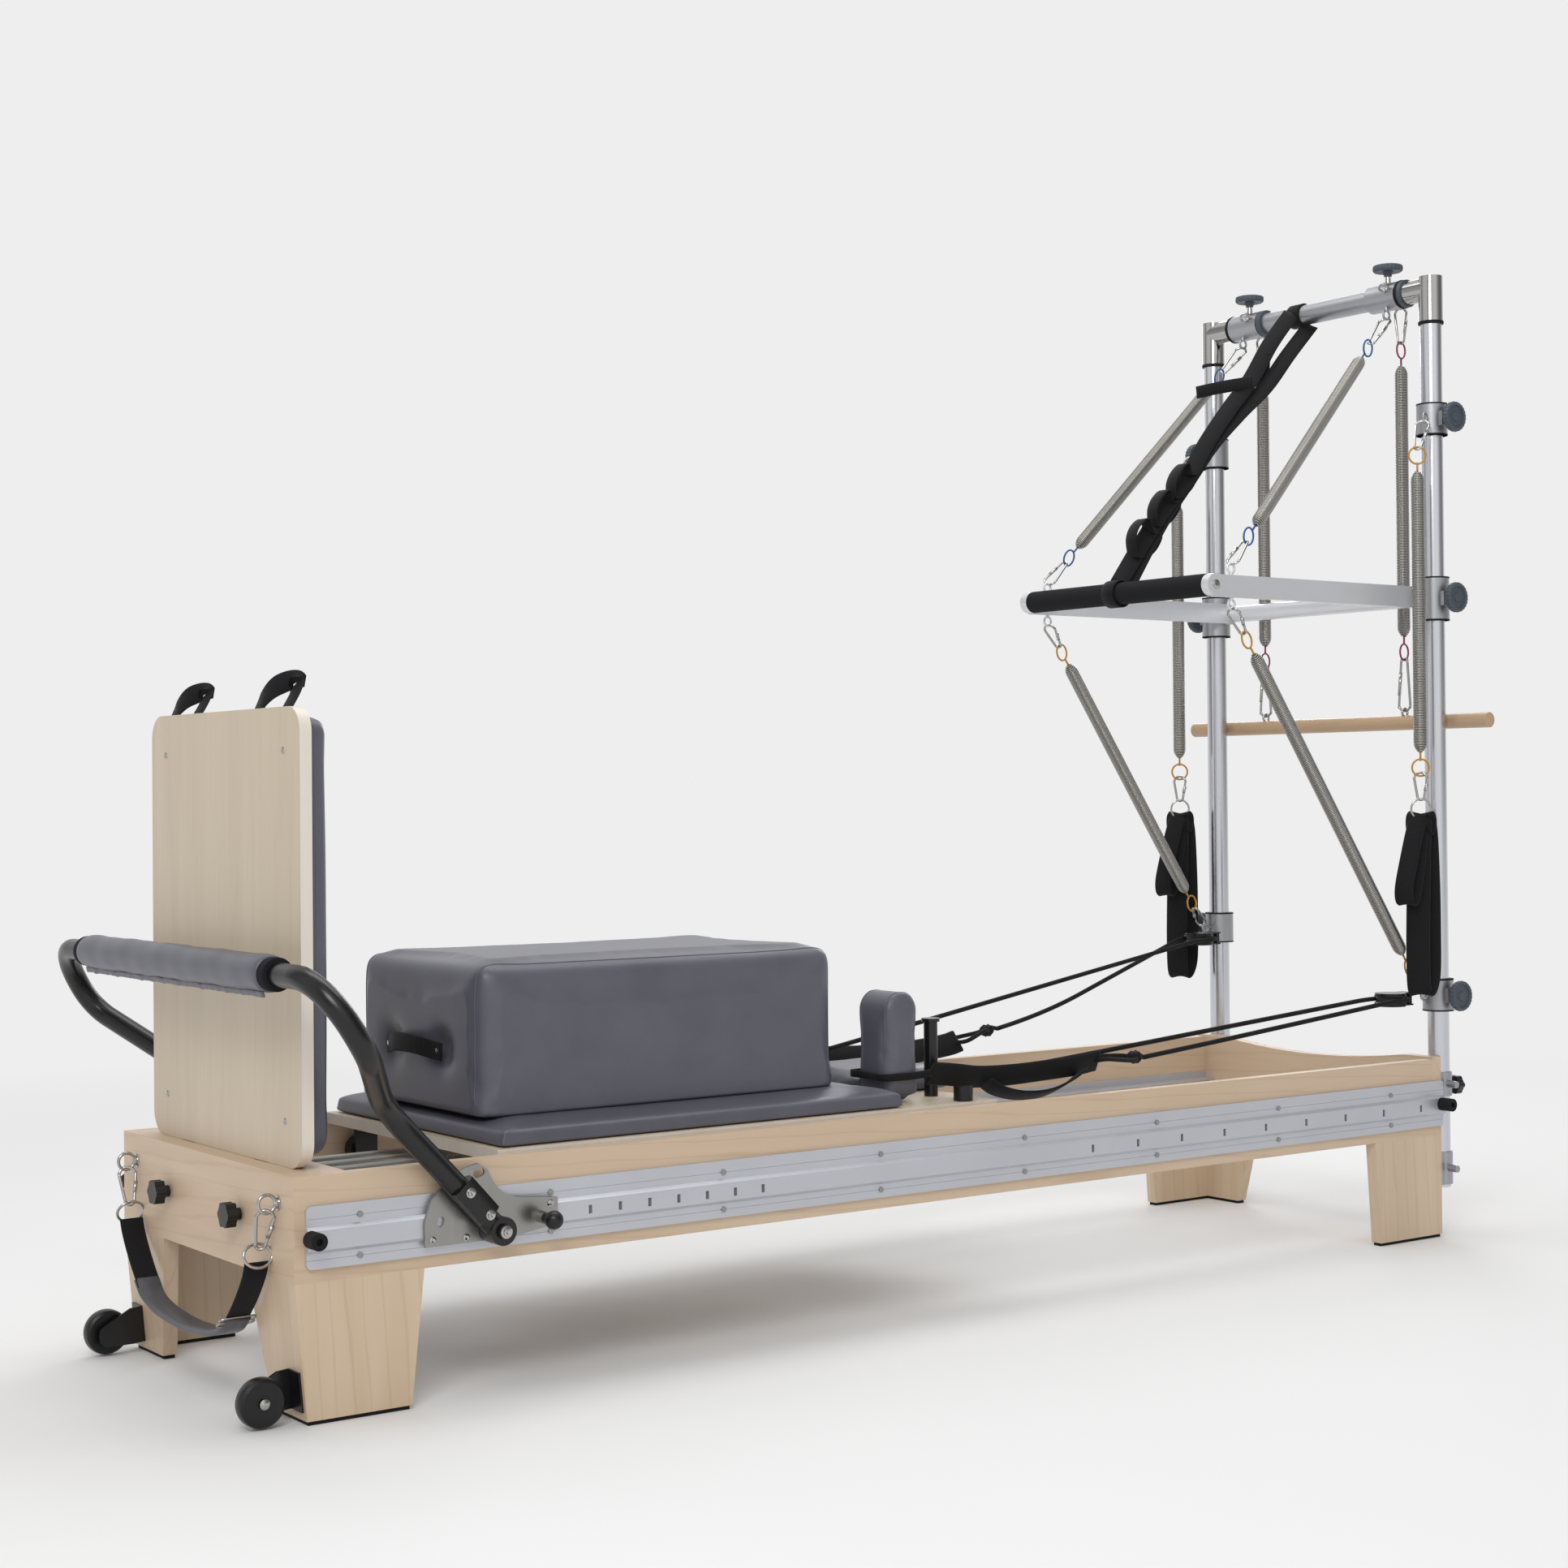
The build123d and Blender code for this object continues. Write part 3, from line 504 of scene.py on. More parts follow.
def make_studio():
    """Pale studio: bands of light and shade round the object, and a floor that fades into the backdrop."""
    world = bpy.data.worlds.new("studio")
    world.use_nodes = True
    nodes, links = world.node_tree.nodes, world.node_tree.links
    split = nodes.new("ShaderNodeSeparateXYZ")
    links.new(nodes.new("ShaderNodeTexCoord").outputs["Generated"], split.inputs[0])
    turn = nodes.new("ShaderNodeMath")
    turn.operation = "ARCTAN2"
    links.new(split.outputs["Y"], turn.inputs[0])
    links.new(split.outputs["X"], turn.inputs[1])
    part = nodes.new("ShaderNodeMapRange")
    links.new(turn.outputs[0], part.inputs["Value"])
    part.inputs["From Min"].default_value = -math.pi
    part.inputs["From Max"].default_value = math.pi
    band = nodes.new("ShaderNodeValToRGB")
    links.new(part.outputs["Result"], band.inputs["Fac"])
    shades = [(0.0, BACKDROP), (0.06, 0.35), (0.14, 0.9), (0.24, 1.0), (0.33, 0.3), (0.42, 0.16),
              (0.5, BACKDROP),
              (0.80, BACKDROP), (0.86, 0.3), (0.92, 0.8), (1.0, BACKDROP)]
    for place, shade in shades[2:]:
        band.color_ramp.elements.new(place)
    for element, (place, shade) in zip(band.color_ramp.elements, shades):
        element.position = place
        element.color = (shade, shade, shade, 1)
    links.new(band.outputs["Color"], nodes["Background"].inputs["Color"])
    bpy.context.scene.world = world
    bpy.context.scene.view_settings.view_transform = "Standard"
    area_light("key", (-3.4, -3.2, 3.4), (-0.2, 0, 0.5), (1.8, 1.8), 75)
    area_light("top", (0.3, 0.3, 4.4), (0, 0, 0), (4.0, 2.0), 60)
    area_light("rim", (3.2, 2.4, 2.6), (0.6, 0, 0.9), (1.2, 2.0), 30)
    shader = Shader("studio_floor", Roughness=0.95, Specular_IOR_Level=0.0)
    cloud = shader.noise(shader.place(), 2.0)
    shader.feed("Base Color", shader.mix(cloud, (0.80, 0.80, 0.80, 1), (0.82, 0.82, 0.82, 1)))
    distance = shader.add("VectorMath", {0: shader.place()}, operation="LENGTH").outputs["Value"]
    fade = shader.add("MapRange", {"Value": distance, "From Min": 1.6, "From Max": 4.5}).outputs["Result"]
    glow = shader.add("Emission", {"Color": (BACKDROP, BACKDROP, BACKDROP, 1)})
    blend = shader.add("MixShader", {0: fade, 1: shader.surface.outputs[0], 2: glow.outputs[0]})
    shader.links.new(blend.outputs[0], shader.nodes["Material Output"].inputs["Surface"])
    reach = 40
    corners = [(-reach, -reach, 0), (reach, -reach, 0), (reach, reach, 0), (-reach, reach, 0)]
    mesh_object("floor", corners, [(0, 1, 2, 3)], shader.material)


# ------------------------------------------------------------------ ropes

def rope_route(side):
    sign = SIDES[side]
    lift = LOWER_Z[side] - (7 if side == "near" else 20)
    hand = {"near": (1724, 394), "far": (1762, 412)}[side]
    knee = {"near": 228, "far": 226}[side]
    outer, inner, back = 294.5, 229.5, 2394.5
    tail_z = {"near": 376, "far": 398}[side]
    corners = [(hand[0], knee, hand[1]), (1905, 246, hand[1] + 20), (2340, outer, lift),
               (back, outer, lift),
               (back, inner, lift), (2330, inner, lift), (1278, 186, tail_z)]
    return [at(x, sign * y, z) for x, y, z in corners]


def nurbs_line(name, corners, resolution=24):
    """Points along the NURBS curve through the route's control points."""
    data = bpy.data.curves.new(name, "CURVE")
    data.dimensions = "3D"
    data.resolution_u = resolution
    spline = data.splines.new("NURBS")
    spline.points.add(len(corners) - 1)
    for point, corner in zip(spline.points, corners):
        point.co = (*corner, 1)
    spline.order_u = 3
    spline.use_endpoint_u = True
    holder = bpy.data.objects.new(name, data)
    bpy.context.scene.collection.objects.link(holder)
    bpy.context.view_layer.update()
    line = bpy.data.meshes.new_from_object(holder)
    points = [vertex.co.copy() for vertex in line.vertices]
    bpy.data.objects.remove(holder)
    return points


def rope_line(corners):
    """The route's smooth line, kept straight on the long runs by a point near each pulley corner."""
    first, second, third = corners[0], corners[1], corners[2]
    held = [first, second, second.lerp(third, 0.5), third.lerp(second, 0.06), *corners[2:6],
            corners[5].lerp(corners[6], 0.06), corners[6]]
    return nurbs_line("rope_route", held)


def make_rope(side):
    points = rope_line(rope_route(side))
    rope = tube(f"{side}_rope_cord", points, 0.0045, ROPE, None, 10)
    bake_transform(rope)
    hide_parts(f"{side}_rope")


def make_hand_strap(side):
    """Knot, rope loop, wide strap and hanging loop at the carriage end of a rope."""
    sign = SIDES[side]
    near = side == "near"
    knot = at(1700, sign * 228, 396) if near else at(1734, sign * 226, 410)
    corner = 1612 if near else 1668
    strap_z = 400 if near else 396
    sleeve_end = rope_route(side)[0]
    loop = [sleeve_end, knot + Vector((0.004, 0, 0.006)), knot + Vector((-0.012, sign * 0.012, -0.004)),
            at(corner, sign * 252, strap_z), at(corner - 12, sign * 228, strap_z - 4),
            at(corner, sign * 204, strap_z),
            knot + Vector((-0.012, -sign * 0.012, 0.002)), knot + Vector((0.006, 0, -0.008)),
            knot + Vector((0.016, sign * 0.004, 0.004))]
    tube(f"{side}_hand_loop", smooth_path(loop, 8), 0.0042, ROPE, "carriage", 10)
    lathe(f"{side}_knot", [(0.002, -0.013), (0.009, -0.011), (0.0125, -0.004), (0.0105, 0.002),
                           (0.0125, 0.007),
                           (0.008, 0.013), (0.002, 0.015)], knot, (1, 0, 0.05), ROPE, "carriage", 32, 6,
                           0.002)
    upright = (0, 0.55 * sign, 1)
    if near:
        line = [at(corner - 6, sign * 232, 396), at(1560, sign * 232, 391), at(1480, sign * 233, 388),
                at(1400, sign * 234, 386), at(1320, sign * 234, 388), at(1262, sign * 234, 396),
                at(1214, sign * 236, 402)]
        hang = [at(1560, sign * 240, 380), at(1524, sign * 244, 364), at(1470, sign * 246, 350),
                at(1410, sign * 246, 350),
                at(1360, sign * 244, 362), at(1334, sign * 240, 378)]
    else:
        line = [at(corner - 6, sign * 228, 394), at(1630, sign * 226, 388), at(1560, sign * 224, 382),
                at(1480, sign * 224, 380), at(1400, sign * 224, 381), at(1290, sign * 226, 388),
                at(1214, sign * 236, 402)]
        hang = [at(1590, sign * 238, 372), at(1520, sign * 240, 364), at(1450, sign * 240, 362),
                at(1380, sign * 238, 366), at(1330, sign * 236, 376)]
    strap(f"{side}_hand_strap", line, upright, 0.046, 0.006, WEBBING, "carriage")
    strap(f"{side}_hand_strap_loop", hang, (0, 1, 0.5 * sign), 0.040, 0.004, WEBBING, "carriage")
    hook = [at(1216, sign * 237, 402), at(1170, sign * 236, 400), at(1130, sign * 234, 400),
            at(1117, sign * 222, 400),
            at(1119, sign * 182, 401), at(1119, sign * 142, 401), at(1130, sign * 130, 400),
            at(1160, sign * 129, 400)]
    strap(f"{side}_hand_strap_hook", hook, (0, 0, 1), 0.013, 0.003, WEBBING, "carriage")


# ------------------------------------------------------------------ soft goods

def copy_of(node, name, material):
    mesh = NODES[node].data.copy()
    mesh.materials.clear()
    mesh.materials.append(material)
    for polygon in mesh.polygons:
        polygon.material_index = 0
    piece = bpy.data.objects.new(name, mesh)
    bpy.context.scene.collection.objects.link(piece)
    return piece


def apply_modifiers(piece):
    depsgraph = bpy.context.evaluated_depsgraph_get()
    mesh = bpy.data.meshes.new_from_object(piece.evaluated_get(depsgraph))
    piece.modifiers.clear()
    old = piece.data
    piece.data = mesh
    bpy.data.meshes.remove(old)


def inflate(piece, flat_axis, flat_low, pressure, cap):
    """Cloth simulation of the cover over its filling. The face against flat_low stays put."""
    rest = np.array([tuple(v.co) for v in piece.data.vertices])
    axis = "XYZ".index(flat_axis)
    pins = [k for k, p in enumerate(rest) if p[axis] < flat_low + 0.004]
    group = piece.vertex_groups.new(name="held")
    group.add(pins, 1.0, "REPLACE")
    cloth = piece.modifiers.new("cover", "CLOTH")
    settings = cloth.settings
    settings.quality = 4
    settings.mass = 0.4
    settings.tension_stiffness = 25
    settings.compression_stiffness = 25
    settings.shear_stiffness = 12
    settings.bending_stiffness = 2
    settings.use_pressure = True
    settings.uniform_pressure_force = pressure
    settings.effector_weights.gravity = 0
    settings.vertex_group_mass = "held"
    scene = bpy.context.scene
    for step in range(1, 21):
        scene.frame_set(step)
    depsgraph = bpy.context.evaluated_depsgraph_get()
    moved = np.array([tuple(v.co) for v in piece.evaluated_get(depsgraph).data.vertices])
    shift = moved - rest
    size = np.linalg.norm(shift, axis=1)
    scale = np.minimum(1.0, cap / np.maximum(size, 1e-9))
    for vertex, place in zip(piece.data.vertices, rest + shift * scale[:, None]):
        vertex.co = place
    piece.modifiers.clear()
    piece.vertex_groups.clear()
    scene.frame_set(1)


def cushion(node, name, body, flat_axis="Z", voxel=0.006, inset=0.004, pressure=4.0, cap=0.008,
            rounding=6):
    """Upholstered pad in the space of its CAD node: remeshed, inflated by cloth, then smoothed."""
    piece = copy_of(node, name, LEATHER)
    remesh = piece.modifiers.new("voxels", "REMESH")
    remesh.mode = "VOXEL"
    remesh.voxel_size = voxel
    apply_modifiers(piece)
    low, high = (Vector(corner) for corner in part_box(node))
    axis = "XYZ".index(flat_axis)
    middle = (low + high) / 2
    half = (high - low) / 2
    for vertex in piece.data.vertices:
        for k in range(3):
            if k == axis:
                lift = (vertex.co[k] - low[k]) / (high[k] - low[k])
                vertex.co[k] -= inset * lift
            else:
                vertex.co[k] = middle[k] + (vertex.co[k] - middle[k]) * (half[k] - inset) / half[k]
    inflate(piece, flat_axis, low[axis], pressure, cap)
    smooth = piece.modifiers.new("smooth", "SMOOTH")
    smooth.iterations = rounding
    smooth.factor = 0.5
    fine = piece.modifiers.new("fine", "SUBSURF")
    fine.levels = 1
    fine.render_levels = 1
    apply_modifiers(piece)
    clamp_to_box(piece, low, high)
    piece.data.materials.clear()
    piece.data.materials.append(LEATHER)
    piece.data.shade_smooth()
    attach(piece, body)
    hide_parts(node)
    return piece


def clamp_to_box(piece, low, high, spare=0.004):
    """Keeps a cover from swelling into its neighbours."""
    for vertex in piece.data.vertices:
        for k in range(3):
            vertex.co[k] = min(max(vertex.co[k], low[k]), high[k] + spare)


def press_in(piece, spots, radius, depth):
    """Dimples where a handle is riveted through the cover; the cover moves towards +X."""
    for vertex in piece.data.vertices:
        for spot in spots:
            apart = (vertex.co - spot).length / radius
            vertex.co.x += depth * math.exp(-apart * apart)


def make_soft_goods():
    cushion("carriage_pad", "carriage_cushion", "carriage", voxel=0.008, cap=0.006)
    cushion("headrest", "headrest_cushion", "headrest", cap=0.006)
    cushion("jump_pad", "jump_cushion", "jump_board", "X", voxel=0.008, cap=0.006)
    box = cushion("sitting_box", "sitting_box_cover", "sitting_box", voxel=0.008, inset=0.0, cap=0.007,
                  rounding=7)
    press_in(box, [at(357, 84, 487), at(357, -84, 487)], 0.030, 0.016)
    for level in (-187, 187):
        sewn_edge(f"box_seam_{'near' if level < 0 else 'far'}", box, level, (355, 1043), (400, 629), 34)
    for side, sign in SIDES.items():
        rest = cushion(f"{side}_shoulder_rest", f"{side}_shoulder_cushion", f"{side}_shoulder_rest",
                       voxel=0.005, cap=0.004)
        for level in (-218, -147):
            tag = "out" if level < -200 else "in"
            sewn_edge(f"{side}_rest_seam_{tag}", rest, -sign * level, (1126, 1204), (368, 548), 30)


def sewn_edge(name, piece, level, x, z, radius):
    """Piped seam laid on the cover round one long side."""
    loop = []
    corners = [(x[1] - radius, z[1] - radius, 0), (x[0] + radius, z[1] - radius, 90),
               (x[0] + radius, z[0] + radius, 180), (x[1] - radius, z[0] + radius, 270)]
    for cx, cz, start in corners:
        for k in range(9):
            turn = math.radians(start + 90 * k / 8)
            loop.append((cx + radius * math.cos(turn), cz + radius * math.sin(turn)))
    tree = BVHTree.FromPolygons([v.co for v in piece.data.vertices],
                                [p.vertices for p in piece.data.polygons])
    points = []
    for (ax, az), (bx, bz) in zip(loop, loop[1:] + loop[:1]):
        steps = max(1, round(math.hypot(bx - ax, bz - az) / 12))
        for k in range(steps):
            spot = at(ax + (bx - ax) * k / steps, level, az + (bz - az) * k / steps)
            place, normal = tree.find_nearest(spot)[:2]
            points.append(place + normal * 0.0001)
    tube(name, points, 0.0010, LEATHER, piece["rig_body"], 8, True)


def make_box_handle():
    """Webbing handle on the foot end of the sitting box, with a rivet at each end."""
    face = 352
    points = [at(face + 2, 92, 484), at(face - 2, 74, 486), at(face - 12, 40, 492), at(face - 15, 0, 494),
              at(face - 12, -40, 492), at(face - 2, -74, 486), at(face + 2, -92, 484)]
    strap("box_handle", points, (0, 0, 1), 0.03, 0.0035, WEBBING, "sitting_box")
    for y in (82, -82):
        lathe(f"box_rivet_{'far' if y > 0 else 'near'}",
              [(0.004, 0), (0.0038, 0.0012), (0.002, 0.002), (0.0002, 0.0022)],
              at(face - 0.5, y, 486), (-1, 0, 0), CHROME, "sitting_box", 24)


def make_footbar_sleeve():
    """Wrapped sleeve over black foam, with the gathered seam along its underside."""
    middle = at(-42, 0, 638)
    sides = 40
    rows = 90
    points = []
    random = np.random.default_rng(4)
    phase = random.uniform(0, 6.28, 6)
    for row in range(rows):
        along = -0.345 + 0.69 * row / (rows - 1)
        edge = min(along + 0.345, 0.345 - along)
        pinch = 0.0015 * math.exp(-edge / 0.006)
        for k in range(sides):
            turn = 2 * math.pi * k / sides
            ripple = (0.0005 * math.sin(38 * along + phase[0] + 2 * math.sin(turn))
                      + 0.0003 * math.sin(90 * along + phase[1] + turn))
            reach = 0.0268 - pinch + ripple
            points.append(middle + Vector((reach * math.cos(turn), along, reach * math.sin(turn))))
    faces = []
    for row in range(rows - 1):
        a, b = row * sides, (row + 1) * sides
        faces += [(a + k, a + (k + 1) % sides, b + (k + 1) % sides, b + k) for k in range(sides)]
    faces += [tuple(range(sides))[::-1], tuple(range((rows - 1) * sides, rows * sides))]
    sleeve = mesh_object("footbar_sleeve_cover", points, faces, LEATHER, "footbar")
    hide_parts("footbar_sleeve")
    hem = []
    for k in range(121):
        along = -0.34 + 0.68 * k / 120
        wave = sum(math.sin(along * f + p) for f, p in zip((40, 95, 170, 260), phase[2:])) / 4
        hem.append(middle + Vector((-0.010 + 0.001 * wave, along, -0.0275 - 0.0022 * abs(wave))))
    strap_mesh = sweep(hem, strap_section(0.009, 0.0022), (0.25, 0, -1))
    mesh_object("footbar_sleeve_seam", *strap_mesh, LEATHER, "footbar")
    for sign in (-1, 1):
        profile = [(0.018, 0), (0.0238, 0.001), (0.024, 0.004), (0.024, 0.019), (0.0235, 0.021),
                   (0.0175, 0.0212)]
        start = middle + Vector((0, sign * 0.344, 0))
        lathe(f"footbar_foam_{'near' if sign < 0 else 'far'}", profile, start, (0, sign, 0), FOAM,
              "footbar", 40)


def make_jump_loops():
    """Twisted webbing handles on the top edge of the jump board, and the board's four screws."""
    for name, y, size in (("far", 212, 1.0), ("near", -106, 1.15)):
        line = [(0, 0, -6), (5, -10, 14), (16, -24, 30), (34, -40, 38), (30, -52, 24), (8, -64, -6)]
        points = [at(45 + dx * size, y + dy * size, 1012 + dz * size) for dx, dy, dz in line]
        points = smooth_path(points)
        lean = [math.sin(math.pi * min(1.0, 1.25 * k / (len(points) - 1))) for k in range(len(points))]
        across = [(0.35 * amount, 1 - amount, 1.2 * amount) for amount in lean]
        section = strap_section(0.032, 0.0028)
        mesh_object(f"jump_loop_{name}", *sweep(points, section, across), WEBBING, "jump_board")
    for side, sign in SIDES.items():
        for level, z in (("top", 950), ("low", 416)):
            head = [(0.0052, 0), (0.0050, 0.0009), (0.0030, 0.0016), (0.0016, 0.0010), (0.0004, 0.0008)]
            lathe(f"{side}_board_screw_{level}", head, at(33.4, sign * 219, z), (-1, 0, 0), CHROME,
                  "jump_board", 20)


def make_sling():
    """Foot sling: padded suede centre, webbing ends, rings and snap hooks."""
    half = [(238, 222), (231, 205), (216, 183), (192, 155), (162, 126)]
    for side, sign in SIDES.items():
        points = [at(-20, sign * y, z) for y, z in half]
        strap(f"{side}_sling_webbing", points, (1, 0, 0), 0.038, 0.004, WEBBING, "foot_sling")
        middle = at(-20, sign * 242, 232)
        ring(f"{side}_sling_ring", middle, (0, 0.95, 0.35 * sign), 0.0215, 0.0022, CHROME, "foot_sling",
             0.8)
        carabiner(f"{side}_sling_hook", at(-17, sign * 265, 299), at(-19, sign * 246, 242), (0.3, 1, 0),
                  "foot_sling")
    pad = [(176, 136), (150, 115), (110, 103), (60, 97), (0, 94), (-60, 97), (-110, 103), (-150, 115),
           (-172, 132)]
    pad_piece = strap("sling_pad", [at(-20, y, z) for y, z in pad], (1, 0, 0), 0.041, 0.010, SUEDE,
                      "foot_sling")
    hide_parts("foot_sling")
    for k, reach in enumerate((0, 9)):
        buckle = [at(-20 + dx, -163 + dy - reach, 124 + dz + reach * 0.8)
                  for dx, dy, dz in ((-23, -4, 3), (23, -4, 3), (23, 4, -3), (-23, 4, -3))]
        tube(f"sling_buckle_{k}", smooth_path(buckle, 6, True), 0.0017, CHROME, "foot_sling", 8, True)


# ------------------------------------------------------------------ springs and their hooks

def spring_set(name, top, low, colour, body, hooks, blend=None, facing=(1, 0.2, 0)):
    """Snap hook, coloured ring, spring, ring and snap hook in one line from top to low."""
    top, low = Vector(top), Vector(low)
    way = (low - top).normalized()
    first, second = hooks
    material = RINGS[colour]
    made = [carabiner(f"{name}_top_hook", top, top + way * first, facing, None if blend else body),
            carabiner(f"{name}_low_hook", low, low - way * second, facing, None if blend else body)]
    pieces = list(made) + [bpy.data.objects[piece.name + "_gate"] for piece in made]
    ring_r = 0.0165
    for tag, start, sign in (("top", top + way * (first + ring_r * 0.8), 1),
                             ("low", low - way * (second + ring_r * 0.8), -1)):
        normal = way.cross(Vector(facing)).normalized()
        pieces.append(ring(f"{name}_{tag}_ring", start, normal, ring_r, 0.0019, material,
                           None if blend else body))
        stem = start + way * sign * ring_r
        pieces.append(tube(f"{name}_{tag}_stem",
                           [stem, stem + way * sign * 0.01, stem + way * sign * 0.022], 0.002,
                           material, None if blend else body, 8))
    reach = first + ring_r * 1.8 + 0.016, second + ring_r * 1.8 + 0.016
    pieces.append(coil(f"{name}_spring", top + way * reach[0], low - way * reach[1], 0.0134, 0.0016,
                       None if blend else body))
    if blend:
        for piece in pieces:
            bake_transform(piece)
    return pieces[-1]


def make_springs():
    eye_x = POST_X - 14
    for side, sign in SIDES.items():
        top = at(eye_x, sign * 197, TOP_Z - 46)
        low = at(1934, sign * 257, MID_Z + 44)
        spring = spring_set(f"{side}_upper_push", top, low, "blue", "push_bar", (0.08, 0.065),
                            ("mid_collars", "push_bar"))
        low = at(POST_X - 48, sign * POST_Y, LOWER_Z[side] + 4)
        top = at(1934, sign * 257, MID_Z - 40)
        spring_set(f"{side}_lower_push", low, top, "gold", "push_bar", (0.05, 0.055),
                   ("mid_collars", "push_bar"))
        if side == "near":
            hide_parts("push_springs")
        x = POST_X + 37.5
        spring = spring_set(f"{side}_roll_down", at(x, sign * 190, TOP_Z - 18), at(x, sign * 190, 1040),
                            "magenta",
                            "roll_down_bar", (0.072, 0.106), ("frame", "roll_down_bar"))
        if side == "near":
            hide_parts("roll_down_springs")
        make_arm_spring(side, sign)
    for k, y in enumerate((-120, -60, 0, 60, 120)):
        spring = coil(f"carriage_spring_{k}", at(122, y, 297), at(640, y, 297), 0.012, 0.0016)
        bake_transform(spring)
        if k == 0:
            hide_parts("carriage_springs")


def make_arm_spring(side, sign):
    """Arm spring hanging from an upper collar, with its hand strap in two loops."""
    body = f"{side}_arm_spring"
    x, y = 2378, sign * 330
    top = at(2414, sign * 316, 1606)
    ring_top = at(x, y, 1534)
    carabiner(f"{side}_arm_top_hook", top, ring_top + Vector((0, 0, 0.012)), (1, 0.5, 0), body)
    gold = RINGS["gold"]
    ring(f"{side}_arm_top_ring", ring_top, (0.6, 0.8, 0), 0.0165, 0.0019, gold, body)
    tube(f"{side}_arm_top_stem", [at(x, y, 1520), at(x, y, 1510), at(x, y, 1498)], 0.002, gold, body, 8)
    spring = coil(f"{side}_arm_coil", at(x, y, 1502), at(x, y, 954), 0.0134, 0.0016, body)
    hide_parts(f"{side}_arm_spring")
    tube(f"{side}_arm_low_stem", [at(x, y, 958), at(x, y, 948), at(x, y, 936)], 0.002, gold, body, 8)
    ring(f"{side}_arm_low_ring", at(x, y, 923), (0.6, 0.8, 0), 0.0165, 0.0019, gold, body)
    carabiner(f"{side}_arm_low_hook", at(x, y, 913), at(x, y, 860), (1, 0.5, 0), body)
    ring(f"{side}_hand_ring", at(x, y, 842), (0.6, 0.8, 0), 0.019, 0.0021, CHROME, body, 1.05)
    across = (0.5, -0.87, 0)
    outer = [at(x, y, 828), at(x + 13, y, 800), at(x + 19, y, 700), at(x + 20, y, 600), at(x + 18, y, 520),
             at(x + 4, y, 486), at(x - 10, y, 492), at(x - 13, y, 560), at(x - 10, y, 680),
             at(x - 5, y, 790)]
    strap(f"{side}_hand_loop_long", outer, across, 0.046, 0.0045, WEBBING, body, True)
    inner = [at(x - 4, y, 828), at(x - 18, y, 800), at(x - 38, y, 740), at(x - 52, y, 690),
             at(x - 50, y, 664),
             at(x - 36, y, 662), at(x - 22, y, 700), at(x - 10, y, 770)]
    strap(f"{side}_hand_loop_short", inner, across, 0.036, 0.004, WEBBING, body, True)
    wrap = [at(x, y, 832), at(x + 7, y, 824), at(x + 7, y, 806), at(x, y, 798), at(x - 7, y, 806),
            at(x - 7, y, 824)]
    strap(f"{side}_hand_wrap", wrap, across, 0.050, 0.003, WEBBING, body, True)


def make_ladder_strap():
    """Looped strap tied round the crossbar and round the push-through bar."""
    top, low = at(POST_X, 48, TOP_Z), at(PUSH_X, 4, MID_Z + 4)
    way = (low - top).normalized()
    across = Vector((0, 1, 0))
    out = way.cross(across).normalized()
    if out.z < 0:
        out = -out
    start = top + Vector((-0.024, 0, 0.004))
    end = low + Vector((0.004, 0, 0.024))
    run = end - start
    slant = (across + out * 0.75).normalized()
    main = [start + run * k / 8 + out * 0.004 * math.sin(2.2 * k) for k in range(9)]
    shares = (1.0, 0.92, 0.7, 0.42, 0.16, 0.0, 0.1, 0.2, 0.3)
    second = [p - out * (0.034 * share + 0.005) - across * 0.026 * share for p, share in zip(main, shares)]
    pieces = [strap("ladder_strap_main", main, slant, 0.036, 0.003, WEBBING),
              strap("ladder_strap_back", second, slant, 0.034, 0.003, WEBBING)]
    for k, (place, bulge) in enumerate(((0.62, 0.026), (0.72, 0.030), (0.83, 0.036))):
        centre = start + run * place
        for tag, way_out, size in (("left", out, bulge), ("right", -out, bulge * 0.72)):
            loop = [centre, centre + way_out * size * 0.75 - way * 0.012,
                    centre + way_out * size + way * 0.016,
                    centre + way_out * size * 0.8 + way * 0.044,
                    centre + way_out * size * 0.2 + way * 0.064,
                    centre + way * 0.070]
            pieces.append(strap(f"ladder_rung_{tag}_{k}", loop, across, 0.030, 0.0026, WEBBING))
    cross = start + run * 0.16
    pieces.append(strap("ladder_cross", [cross + out * 0.004, cross + way * 0.04 - out * 0.024,
                                         cross + way * 0.075 - out * 0.046],
                        slant, 0.026, 0.0028, WEBBING))
    for name, middle, radius in (("top", top, 0.0235), ("low", low, 0.0255)):
        turns = [2 * math.pi * k / 24 for k in range(24)]
        points = [middle + Vector((math.cos(t), 0, math.sin(t))) * radius for t in turns]
        body = "frame" if name == "top" else "push_bar"
        strap(f"ladder_{name}_wrap", points, across, 0.034, 0.003, WEBBING, body, True)
    root = start + run * 0.30
    tab = [root + Vector((0, -0.03, 0.012)), root + Vector((-0.02, 0.04, 0.009)),
           root + Vector((-0.036, 0.094, 0.004))]
    pieces.append(strap("ladder_tab", tab, (0, 0.0, 1), 0.026, 0.0025, WEBBING))
    for piece in pieces:
        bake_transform(piece)
    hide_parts("ladder_strap")


# ------------------------------------------------------------------ knobs, wheels and small hardware

